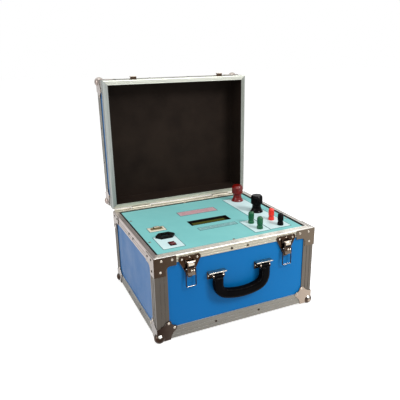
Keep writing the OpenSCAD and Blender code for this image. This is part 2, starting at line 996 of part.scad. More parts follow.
// Hook that the bail pulls down, on the lid's front rim
module lid_catches() {
  catch_w = 17;
  catch_h = 16;
  hook_reach = 9;
  hook_h = 6.5;
  color("lightgray")
    open_lid()
      for (way = [-1, 1])
        translate([way * latch_x - catch_w / 2, front_y, lid_z + catch_lift])
          mirror([0, 1, 0])
            rotate([90, 0, 90])
              linear_extrude(catch_w)
                union() {
                  square([hook_t, catch_h]);
                  square([hook_reach - hook_t, hook_t]);
                  translate([hook_reach - hook_t, hook_t]) {
                    intersection() {
                      circle(hook_t);
                      translate([0, -hook_t]) square(hook_t);
                    }
                    square([hook_t, hook_h - hook_t]);
                  }
                }
}

// Hinges. The base carries the outer knuckles, the lid the middle one.

knuckle_gap = 0.3;
middle_share = 0.4;
middle_w = hinge_w * middle_share;
outer_w = (hinge_w - middle_w) / 2 - knuckle_gap;
leaf_t = 1.8;

module knuckle(length) {
  rotate([0, 90, 0])
    difference() {
      cylinder(r = barrel_r, h = length);
      translate([0, 0, -overrun]) cylinder(r = hinge_pin_r + pin_clear, h = length + 2 * overrun);
    }
}

// Leaf and web of a knuckle, hanging down from the barrel's middle
module leaf(length, drop) {
  translate([0, back_y - hinge_y, -drop]) cube([length, leaf_t, drop - barrel_r * 0.6]);
  translate([0, back_y - hinge_y, -barrel_r * 1.4])
    cube([length, barrel_r - hinge_pin_r - knuckle_gap, barrel_r * 1.4 - lid_gap]);
}

module hinge_base_leaves() {
  color("lightgray")
    for (way = [-1, 1])
      translate([way * latch_x - hinge_w / 2, hinge_y, hinge_z]) {
        for (start = [0, hinge_w - outer_w])
          translate([start, 0, 0]) {
            knuckle(outer_w);
            leaf(outer_w, leaf_h);
          }
        translate([0, back_y - hinge_y, -leaf_h])
          cube([hinge_w, leaf_t, leaf_h - barrel_r - knuckle_gap * 2]);
      }
}

module hinge_lid_leaves() {
  color("lightgray")
    open_lid()
      for (way = [-1, 1])
        translate([way * latch_x - middle_w / 2, hinge_y, hinge_z]) {
          knuckle(middle_w);
          mirror([0, 0, 1]) leaf(middle_w, leaf_h);
          translate([(middle_w - hinge_w) / 2, back_y - hinge_y, barrel_r + knuckle_gap * 2])
            cube([hinge_w, leaf_t, leaf_h - barrel_r - knuckle_gap * 2]);
        }
}

module hinge_pins() {
  color("gray")
    for (way = [-1, 1])
      translate([way * latch_x - hinge_w / 2, hinge_y, hinge_z])
        rotate([0, 90, 0])
          cylinder(r = hinge_pin_r, h = hinge_w);
}

// Draw latches

latch_x = case_w / 2 - latch_in;
lever_out = 6.6;
lever_below_rim = 21;
lever_pivot_y = front_y - lever_out;
lever_pivot_z = rim_z - lever_below_rim;
bail_pivot_z = lever_pivot_z - bail_pivot_drop;
bail_drop = lid_z + catch_lift + hook_t + wire_r + pin_clear - bail_pivot_z;
latch_plate_t = 1.5;
lever_hub_r = 3.4;
ear_t = 1.2;
ear_rim = 1;
ear_x = lever_w / 2 + seat_gap;
bail_clear = 0.5;
bail_half = ear_x + ear_t + wire_r + bail_clear;
latch_below_rim = 5;
latch_top = rim_z - latch_below_rim;

module latch_outline() {
  lobe_r = latch_w * 0.15;
  lobe_x = latch_w / 2 - lobe_r;
  neck_w = latch_w * 0.42;
  tip_r = neck_w * 0.3;
  tip_z = latch_top - latch_l;
  for (way = [-1, 1])
    translate([way * lobe_x, latch_top - lobe_r]) circle(lobe_r);
  polygon([
    [-lobe_x, latch_top - lobe_r * 0.2], [lobe_x, latch_top - lobe_r * 0.2],
    [lobe_x + lobe_r * 0.7, latch_top - lobe_r * 1.7], [neck_w / 2, tip_z + tip_r * 2],
    [neck_w / 2 - tip_r, tip_z], [tip_r - neck_w / 2, tip_z], [-neck_w / 2, tip_z + tip_r * 2],
    [-lobe_x - lobe_r * 0.7, latch_top - lobe_r * 1.7],
  ]);
}

// Ear beside the lever, with the pin's hole
module latch_ear() {
  ear_r = lever_hub_r + ear_rim;
  rotate([90, 0, 90])
    linear_extrude(ear_t)
      difference() {
        union() {
          translate([lever_pivot_y, lever_pivot_z]) circle(ear_r);
          translate([lever_pivot_y, lever_pivot_z - ear_r])
            square([front_y - latch_plate_t - lever_pivot_y, 2 * ear_r]);
        }
        translate([lever_pivot_y, lever_pivot_z]) circle(latch_pin_r);
      }
}

module latch_plates() {
  step_z = rim_z - rim_front_face;
  color("lightgray")
    for (way = [-1, 1])
      translate([way * latch_x, 0, 0]) {
        translate([0, front_y, 0]) rotate([90, 0, 0]) linear_extrude(latch_plate_t) latch_outline();
        translate([0, front_y + edge_t, 0])
          rotate([90, 0, 0])
            linear_extrude(edge_t + latch_plate_t / 2)
              intersection() {
                latch_outline();
                translate([-latch_w, step_z - latch_l]) square([2 * latch_w, latch_l - seat_gap]);
              }
        for (side = [-1, 1])
          translate([side * (ear_x + ear_t / 2) - ear_t / 2, 0, 0]) latch_ear();
      }
}

module latch_pins() {
  reach = ear_x + ear_t;
  color("gray")
    for (way = [-1, 1])
      translate([way * latch_x - reach, lever_pivot_y, lever_pivot_z])
        rotate([0, 90, 0])
          cylinder(r = latch_pin_r, h = 2 * reach);
}

module lever_bore(place_z, bore_r) {
  translate([-lever_w, lever_pivot_y, place_z])
    rotate([0, 90, 0])
      cylinder(r = bore_r, h = 2 * lever_w);
}

// Lever with a hub for its pivot, a hub for the bail and a turned-up lip
module lever() {
  skin_t = 2;
  skin_y = lever_pivot_y - lever_hub_r;
  tip_z = lever_pivot_z - lever_l;
  lip_out = 3;
  lip_start = 4;
  lip_low = 2;
  lip_t = 1.6;
  difference() {
    translate([-lever_w / 2, 0, 0])
      rotate([90, 0, 90])
        linear_extrude(lever_w)
          union() {
            for (place_z = [lever_pivot_z, bail_pivot_z])
              translate([lever_pivot_y, place_z]) circle(lever_hub_r);
            translate([skin_y, tip_z]) square([skin_t, lever_l]);
            polygon([[skin_y + skin_t, tip_z], [skin_y, tip_z + lip_start],
                     [skin_y - lip_out, tip_z - lip_low],
                     [skin_y - lip_out + lip_t, tip_z - lip_low - lip_t / 2]]);
          }
    lever_bore(lever_pivot_z, latch_pin_r + pin_clear);
    lever_bore(bail_pivot_z, wire_r + pin_clear);
  }
}

module left_lever() {
  color("whitesmoke") translate([-latch_x, 0, 0]) lever();
}

module right_lever() {
  color("whitesmoke") translate([latch_x, 0, 0]) lever();
}

// Closed wire loop, round its corners
module bail() {
  bend_r = bail_half - lever_w / 2 - seat_gap;
  low = bail_pivot_z - bail_drop;
  side_l = bail_drop - 2 * bend_r;
  bar_l = 2 * (bail_half - bend_r);
  translate([0, lever_pivot_y, 0]) {
    for (bar_z = [low, bail_pivot_z])
      translate([-bar_l / 2, 0, bar_z]) rotate([0, 90, 0]) cylinder(r = wire_r, h = bar_l);
    for (way = [-1, 1]) {
      translate([way * bail_half, 0, low + bend_r]) cylinder(r = wire_r, h = side_l);
      for (end = [0, 1])
        translate([way * (bail_half - bend_r), 0, end == 0 ? low + bend_r : bail_pivot_z - bend_r])
          rotate([90, 0, 0])
            rotate(end == 0 ? (way > 0 ? -90 : 180) : (way > 0 ? 0 : 90))
              rotate_extrude(angle = 90)
                translate([bend_r, 0]) circle(wire_r);
    }
  }
}

module left_bail() {
  color("silver") translate([-latch_x, 0, 0]) bail();
}

module right_bail() {
  color("silver") translate([latch_x, 0, 0]) bail();
}

// Drop handle

handle_pivot_y = front_y - grip_t / 2 - 3 * seat_gap;
bracket_w = 45;
bracket_h = 17;
bracket_ear_t = 2;
bracket_lip = 12;
hub_r = 6.5;
hub_rim = 1;
cut_step = 50;
hub_half = grip_w / 2 - hub_rim;

module handle_brackets() {
  ear_place = hub_half + seat_gap;
  ear_r = hub_r - hub_rim;
  top_z = bracket_h / 2;
  color("lightgray")
    for (way = [-1, 1])
      translate([way * handle_span / 2, front_y + edge_t, handle_z]) {
        translate([-bracket_w / 2, -edge_t, -bracket_h / 2]) cube([bracket_w, edge_t, bracket_h]);
        translate([-bracket_w / 2, -edge_t - bracket_lip, top_z])
          cube([bracket_w, edge_t + bracket_lip, bracket_ear_t]);
        for (side = [-1, 1])
          translate([side * (ear_place + bracket_ear_t / 2) - bracket_ear_t / 2, 0, 0])
            rotate([90, 0, 90])
              linear_extrude(bracket_ear_t)
                difference() {
                  union() {
                    translate([handle_pivot_y - front_y - edge_t, 0]) circle(ear_r);
                    translate([handle_pivot_y - front_y - edge_t, -ear_r])
                      square([front_y - handle_pivot_y, top_z + ear_r]);
                  }
                  translate([handle_pivot_y - front_y - edge_t, 0]) circle(handle_pin_r);
                }
      }
}

module handle_pins() {
  reach = hub_half + seat_gap + bracket_ear_t;
  color("gray")
    for (way = [-1, 1])
      translate([way * handle_span / 2 - reach, handle_pivot_y, handle_z])
        rotate([0, 90, 0])
          cylinder(r = handle_pin_r, h = 2 * reach);
}

// Section of the grip, round-cornered: width across the loop, thickness front to back
module grip_section() {
  w = grip_w / 2;
  t = grip_t / 2;
  corner = grip_t * 0.34;
  nick = grip_t * 0.1;
  polygon([
    [-w, corner - t], [nick - w, nick - t], [corner - w, -t],
    [w - corner, -t], [w - nick, nick - t], [w, corner - t],
    [w, t - corner], [w - nick, t - nick], [w - corner, t],
    [corner - w, t], [nick - w, t - nick], [-w, t - corner],
  ]);
}

// Part of a ring of the grip's section, between the given directions below its middle
module grip_arc(radius, ways) {
  far = ceil((radius + grip_w) / cut_step) * cut_step;
  rotate([90, 0, 0])
    intersection() {
      rotate(180)
        rotate_extrude(angle = 180, $fn = 96)
          translate([radius, 0]) grip_section();
      translate([0, 0, -grip_t])
        linear_extrude(2 * grip_t)
          polygon([for (way = ways) way * far]);
    }
}

// Legs, two corner arcs and one wide arc along the bottom, each tangent to the next.
// The arcs meet where the sine is 0.28 and the cosine 0.96, so that they join exactly.
module handle_grip() {
  meet_sine = 0.28;
  meet_cosine = 0.96;
  leg_x = handle_span / 2;
  corner_r = leg_x * 0.44;
  arc_offset = leg_x * 0.56 / meet_sine;
  sweep_z = handle_z - handle_drop + corner_r + arc_offset;
  corner_z = sweep_z - arc_offset * meet_cosine;
  leg_top = handle_z - handle_pin_r;
  color([0.05, 0.05, 0.05])
    difference() {
      translate([0, handle_pivot_y, 0]) {
        for (way = [-1, 1]) {
          translate([way * leg_x, 0, corner_z]) linear_extrude(leg_top - corner_z) grip_section();
          translate([way * leg_x - hub_half, 0, handle_z])
            rotate([0, 90, 0])
              cylinder(r = hub_r, h = 2 * hub_half);
        }
        translate([0, 0, sweep_z])
          grip_arc(corner_r + arc_offset,
                   [[0, 0], [-meet_sine, -meet_cosine], [meet_sine, -meet_cosine]]);
        for (way = [0, 1])
          mirror([way, 0, 0])
            translate([leg_x - corner_r, 0, corner_z])
              grip_arc(corner_r, [[0, 0], [meet_sine, -meet_cosine], [1, -1], [1, 0]]);
      }
      for (way = [-1, 1])
        translate([way * leg_x, handle_pivot_y, handle_z]) {
          translate([-grip_w, 0, 0])
            rotate([0, 90, 0])
              cylinder(r = handle_pin_r + pin_clear, h = 2 * grip_w);
          for (side = [-1, 1])
            translate([side * (hub_half + grip_w / 2) - grip_w / 2, -grip_t, -hub_r])
              cube([grip_w, 2 * grip_t, 2 * hub_r]);
        }
    }
}

base_board();
front_board();
back_board();
left_board();
right_board();
corner_posts();
bottom_rails();
base_rim();
base_corners();
rim_braces();
panel_ledge();
panel_gasket();
instrument_panel();
lcd_bezel();
lcd_window();
lcd_module();
mains_inlet();
inlet_pins();
switch_bezel();
switch_rocker();
serial_port();
port_insert();
big_red_base();
big_black_base();
green_bases();
red_base();
black_base();
terminal_studs();
terminal_nuts();
big_red_cap();
big_black_cap();
green_cap_rear();
green_cap_front();
red_cap();
black_cap();
control_board();
board_standoffs();
transformer();
power_supply();
heatsink();
lid_board();
lid_side_boards();
lid_rails();
lid_posts();
lid_rim();
lid_corners();
lid_lining();
lid_catches();
hinge_base_leaves();
hinge_lid_leaves();
hinge_pins();
latch_plates();
latch_pins();
left_lever();
right_lever();
left_bail();
right_bail();
handle_brackets();
handle_pins();
handle_grip();
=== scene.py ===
import math

import bmesh
import bpy
from mathutils import Matrix, Vector


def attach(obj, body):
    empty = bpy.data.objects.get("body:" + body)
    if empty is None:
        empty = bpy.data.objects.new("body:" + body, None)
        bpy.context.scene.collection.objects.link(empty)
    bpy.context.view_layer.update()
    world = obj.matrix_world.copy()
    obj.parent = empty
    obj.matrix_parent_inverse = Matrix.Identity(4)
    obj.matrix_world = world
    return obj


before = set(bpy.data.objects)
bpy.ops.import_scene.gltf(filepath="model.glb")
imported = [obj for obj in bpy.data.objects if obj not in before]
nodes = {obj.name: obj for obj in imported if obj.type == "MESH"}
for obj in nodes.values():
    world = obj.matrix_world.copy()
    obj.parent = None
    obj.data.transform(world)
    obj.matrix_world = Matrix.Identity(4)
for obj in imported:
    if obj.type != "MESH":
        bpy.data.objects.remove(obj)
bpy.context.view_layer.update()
print("frame loaded:", len(nodes), "solids")

mm = 0.001
# The case's main sizes in millimetres, as the solids have them
case = {
    "width": 420, "depth": 350, "low": -2, "rim": 204, "lidBottom": 204.4, "lidTop": 280.4,
    "panel": 201.8, "hingeY": 178.8, "hingeZ": 204.2, "latchX": 127,
}
halfW, halfD = case["width"] / 2, case["depth"] / 2
corners = [(-halfW, -halfD), (halfW, -halfD), (halfW, halfD), (-halfW, halfD)]


def openPoint(p):  # a place on the shut lid, turned to where the lid stands open
    return Vector((p[0], case["hingeY"] + p[2] - case["hingeZ"], case["hingeZ"] - p[1] + case["hingeY"]))


def openTurn(d):
    return Vector((d[0], d[2], -d[1]))


def colour(r, g, b):  # screen values from 0 to 255, as linear light
    def one(v):
        v /= 255
        return v / 12.92 if v <= 0.04045 else ((v + 0.055) / 1.055) ** 2.4
    return (one(r), one(g), one(b), 1)


def setInput(tree, socket, value):  # links another node's output, or sets a plain value
    if hasattr(value, "links"):
        tree.links.new(value, socket)
    else:
        socket.default_value = value


def feed(tree, node, **values):  # inputs by name, with _ in the place of a space
    for label, value in values.items():
        setInput(tree, node.inputs[label.replace("_", " ")], value)


def newNode(tree, kind, **values):
    node = tree.nodes.new(kind)
    feed(tree, node, **values)
    return node


def newGroup(name, given, made):  # its inputs with their first values, and its outputs
    group = bpy.data.node_groups.new(name, "ShaderNodeTree")
    for label, value in given.items():
        kind = "NodeSocketVector" if isinstance(value, tuple) else "NodeSocketFloat"
        group.interface.new_socket(label, in_out="INPUT", socket_type=kind).default_value = value
    for label in made:
        kind = "NodeSocketVector" if label == "Normal" else "NodeSocketFloat"
        group.interface.new_socket(label, in_out="OUTPUT", socket_type=kind)
    return group, group.nodes.new("NodeGroupInput").outputs, group.nodes.new("NodeGroupOutput")


def math2(tree, kind, a, b=0.5, clamp=False):
    node = tree.nodes.new("ShaderNodeMath")
    node.operation = kind
    node.use_clamp = clamp
    for slot, value in enumerate((a, b)):
        setInput(tree, node.inputs[slot], value)
    return node.outputs[0]


def plus(tree, a, b, clamp=False):
    return math2(tree, "ADD", a, b, clamp)


def minus(tree, a, b):
    return math2(tree, "SUBTRACT", a, b)


def times(tree, a, b, clamp=False):
    return math2(tree, "MULTIPLY", a, b, clamp)


def vectorMath(tree, kind, a, b):
    node = tree.nodes.new("ShaderNodeVectorMath")
    node.operation = kind
    for slot, value in enumerate((a, b)):
        setInput(tree, node.inputs[slot], value)
    return node.outputs["Value" if kind == "DOT_PRODUCT" else "Vector"]


def splitVector(tree, vector):
    return newNode(tree, "ShaderNodeSeparateXYZ", Vector=vector).outputs


def vectorFrom(tree, x, y, z):
    return newNode(tree, "ShaderNodeCombineXYZ", X=x, Y=y, Z=z).outputs[0]


def remap(tree, value, low, high, toLow=0.0, toHigh=1.0):
    return newNode(tree, "ShaderNodeMapRange", Value=value, From_Min=low, From_Max=high, To_Min=toLow,
                   To_Max=toHigh).outputs["Result"]


def noise(tree, vector, scale, detail=3.0, rough=0.5):
    return newNode(tree, "ShaderNodeTexNoise", Detail=detail, Roughness=rough, Vector=vector,
                   Scale=scale).outputs["Fac"]


def objectPlace(tree):
    return tree.nodes.new("ShaderNodeTexCoord").outputs["Object"]


def makeGrain():  # fine relief, stretched along one direction by its scale
    group, into, out = newGroup("surfaceGrain", {"Stretch": (1, 1, 1), "Scale": 900.0}, ("Height", "Tone"))
    stretched = vectorMath(group, "MULTIPLY", objectPlace(group), into["Stretch"])
    fine = noise(group, stretched, into["Scale"], 2.0)
    broad = noise(group, stretched, times(group, into["Scale"], 0.13), 3.0)
    feed(group, out, Height=plus(group, times(group, fine, 0.7), times(group, broad, 0.3)),
         Tone=remap(group, broad, 0.3, 0.7))
    return group


scuffMarks = {"turn": (0.6, 0.35, 0.8), "stretch": (28, 420, 28)}


def makeHandling():  # blotches and fine scuffs that hands and carrying leave
    group, into, out = newGroup("handlingMarks", {"Scale": 18.0, "Scuffs": 0.4}, ("Blotch", "Scuff"))
    place = objectPlace(group)
    blotch = noise(group, place, into["Scale"], 4.0, 0.6)
    turned = newNode(group, "ShaderNodeMapping", Vector=place, Rotation=scuffMarks["turn"],
                     Scale=scuffMarks["stretch"])
    lines = noise(group, turned.outputs[0], 1.6, 2.0, 0.6)
    part = times(group, remap(group, lines, 0.66, 0.74), remap(group, blotch, 0.42, 0.6))
    feed(group, out, Blotch=remap(group, blotch, 0.35, 0.7), Scuff=times(group, part, into["Scuffs"], True))
    return group


def makeEdges():  # rounded normals, worn edges, and painted shade in corners and hollows where ambient occlusion darkens them
    group, into, out = newGroup("edgeWearAndHollowShade", {"Radius": 0.0006, "Dirt Reach": 0.006}, ("Normal", "Edge", "Dirt"))
    bevel = newNode(group, "ShaderNodeBevel", Radius=into["Radius"])
    plain = group.nodes.new("ShaderNodeNewGeometry").outputs["Normal"]
    bare = remap(group, vectorMath(group, "DOT_PRODUCT", bevel.outputs[0], plain), 0.99, 0.8)
    patchy = remap(group, noise(group, objectPlace(group), 120.0, 3.0), 0.4, 0.62)
    shade = newNode(group, "ShaderNodeAmbientOcclusion", Distance=into["Dirt Reach"])
    bevel.samples = shade.samples = 6
    feed(group, out, Normal=bevel.outputs[0], Edge=times(group, bare, patchy),
         Dirt=remap(group, shade.outputs["AO"], 0.75, 0.35))
    return group


def makeDust():  # a thin film on what faces up
    group, into, out = newGroup("settledDust", {"Amount": 0.1}, ("Dust",))
    normal = group.nodes.new("ShaderNodeNewGeometry").outputs["Normal"]
    up = remap(group, splitVector(group, normal)[2], 0.4, 1.0)
    specks = remap(group, noise(group, objectPlace(group), 260.0, 4.0, 0.7), 0.45, 0.75, 0.3, 1.0)
    feed(group, out, Dust=times(group, times(group, up, specks), into["Amount"], True))
    return group


glintWay = (-0.1, -0.74, 0.66)  # the way the ball corners' painted highlight faces: from a ball corner towards the key light and the camera


def makeFacing():  # which way a face looks on the solid itself, and how far right it stands, as masks for painted light and shade
    group, into, out = newGroup("paintedFacingLight", {"Half Width": 0.21},
                                ("Front", "Side", "Up", "Across", "Between", "Glint"))
    place = group.nodes.new("ShaderNodeTexCoord").outputs
    x, y, z = splitVector(group, place["Normal"])
    sizes = [math2(group, "ABSOLUTE", axis) for axis in (x, y, z)]
    most = math2(group, "MAXIMUM", math2(group, "MAXIMUM", sizes[0], sizes[1]), sizes[2])
    toLight = vectorMath(group, "DOT_PRODUCT", place["Normal"], glintWay)
    share = math2(group, "DIVIDE", splitVector(group, place["Object"])[0], into["Half Width"])
    feed(group, out, Front=remap(group, y, -0.35, -0.8), Side=remap(group, sizes[0], 0.35, 0.8),
         Up=remap(group, z, 0.35, 0.8), Across=remap(group, share, -1.0, 1.0),
         Between=remap(group, most, 0.985, 0.9), Glint=remap(group, toLight, 0.935, 0.975))
    return group


def makeFrameLines():  # mitres between the metal edges, the drawn lines along them, and which side of the frame a place is on, for painting light and shade
    group, into, out = newGroup(
        "frameLines", {"Place": (0, 0, 0), "Edge Height": 0.204, "Upright": 0.0, "Pitch": 0.0092},
        ("Left", "Back", "Fore", "Seam", "Line"))
    x, y, z = splitVector(group, into["Place"])
    left = plus(group, x, halfW * mm)
    right = minus(group, halfW * mm, x)
    front = plus(group, y, halfD * mm)
    back = minus(group, halfD * mm, y)
    nearX = math2(group, "MINIMUM", left, right)
    nearY = math2(group, "MINIMUM", front, back)
    for label, edge, across, facing in (("Left", left, nearY, right), ("Back", back, nearX, front),
                                        ("Fore", front, nearX, back)):
        inside = times(group, math2(group, "LESS_THAN", edge, across), math2(group, "LESS_THAN", edge, facing))
        setInput(group, out.inputs[label], inside)
    gap = math2(group, "ABSOLUTE", minus(group, nearX, nearY))
    level = minus(group, 1.0, into["Upright"])
    drop = math2(group, "ABSOLUTE", minus(group, z, into["Edge Height"]))
    flat = plus(group, drop, math2(group, "MINIMUM", nearX, nearY))
    tall = plus(group, nearX, nearY)
    across = plus(group, times(group, flat, level), times(group, tall, into["Upright"]))
    turn = math2(group, "FRACT", math2(group, "DIVIDE", across, into["Pitch"]))
    feed(group, out, Seam=times(group, remap(group, gap, 0.00018, 0.00042, 1.0, 0.0), level),
         Line=remap(group, math2(group, "ABSOLUTE", minus(group, turn, 0.5)), 0.43, 0.47))
    return group


def shutPlace(tree):  # places on the open lid, as they are where it is shut
    turned = newNode(tree, "ShaderNodeMapping", Vector=objectPlace(tree), Rotation=(math.pi / 2, 0, 0),
                     Location=(0, (case["hingeY"] + case["hingeZ"]) * mm, (case["hingeZ"] - case["hingeY"]) * mm))
    return turned.outputs[0]


grainGroup = makeGrain()
handlingGroup = makeHandling()
edgeGroup = makeEdges()
dustGroup = makeDust()
facingGroup = makeFacing()
frameGroup = makeFrameLines()


def useGroup(tree, group, **values):
    node = tree.nodes.new("ShaderNodeGroup")
    node.node_tree = group
    feed(tree, node, **values)
    return node


def blendColour(tree, mask, a, b, share=1.0):
    node = tree.nodes.new("ShaderNodeMix")
    node.data_type = "RGBA"
    for slot, value in ((0, times(tree, mask, share, True)), (6, a), (7, b)):
        setInput(tree, node.inputs[slot], value)
    return node.outputs[2]


# Shared by the case's metal edges
edgeMetal = dict(rough=(0.34, 0.46), metal=0.75, grain=(0.03, 1, 0.03), grainScale=2600, bump=0.06, edge=0.0004,
    scuff=0.15, hollowShade=0.4, blotch=22, upright=0.0, edgeHeight=0.0)
# Shared by the plated and the dark fittings
shinySteel = dict(rough=(0.14, 0.3), metal=1.0, grain=(1, 1, 1), grainScale=420, bump=0.03, edge=0.0006,
    scuff=0.2, hollowShade=0.8, blotch=60)
# Shared by rivets and screws
fastenerSteel = dict(metal=1.0, grain=(1, 1, 1), grainScale=900, bump=0.03, edge=0.0002, scuff=0.2, blotch=200)
# Shared by films and inks
printed = dict(rough=(0.42, 0.56), grain=(1, 1, 1), grainScale=2200, bump=0.03, edge=0.0002, spec=0.25,
    scuff=0.04, blotch=60)
# Shared by the caps and the rocker
glossy = dict(rough=(0.14, 0.24), grain=(1, 1, 1), grainScale=900, bump=0.02, edge=0.0005, spec=0.3, scuff=0.1,
    blotch=90)
# Shared by the other finishes
plain = dict(rough=(0.3, 0.42), grain=(1, 1, 1), grainScale=1500, bump=0.05, edge=0.0003, scuff=0.1, blotch=120)
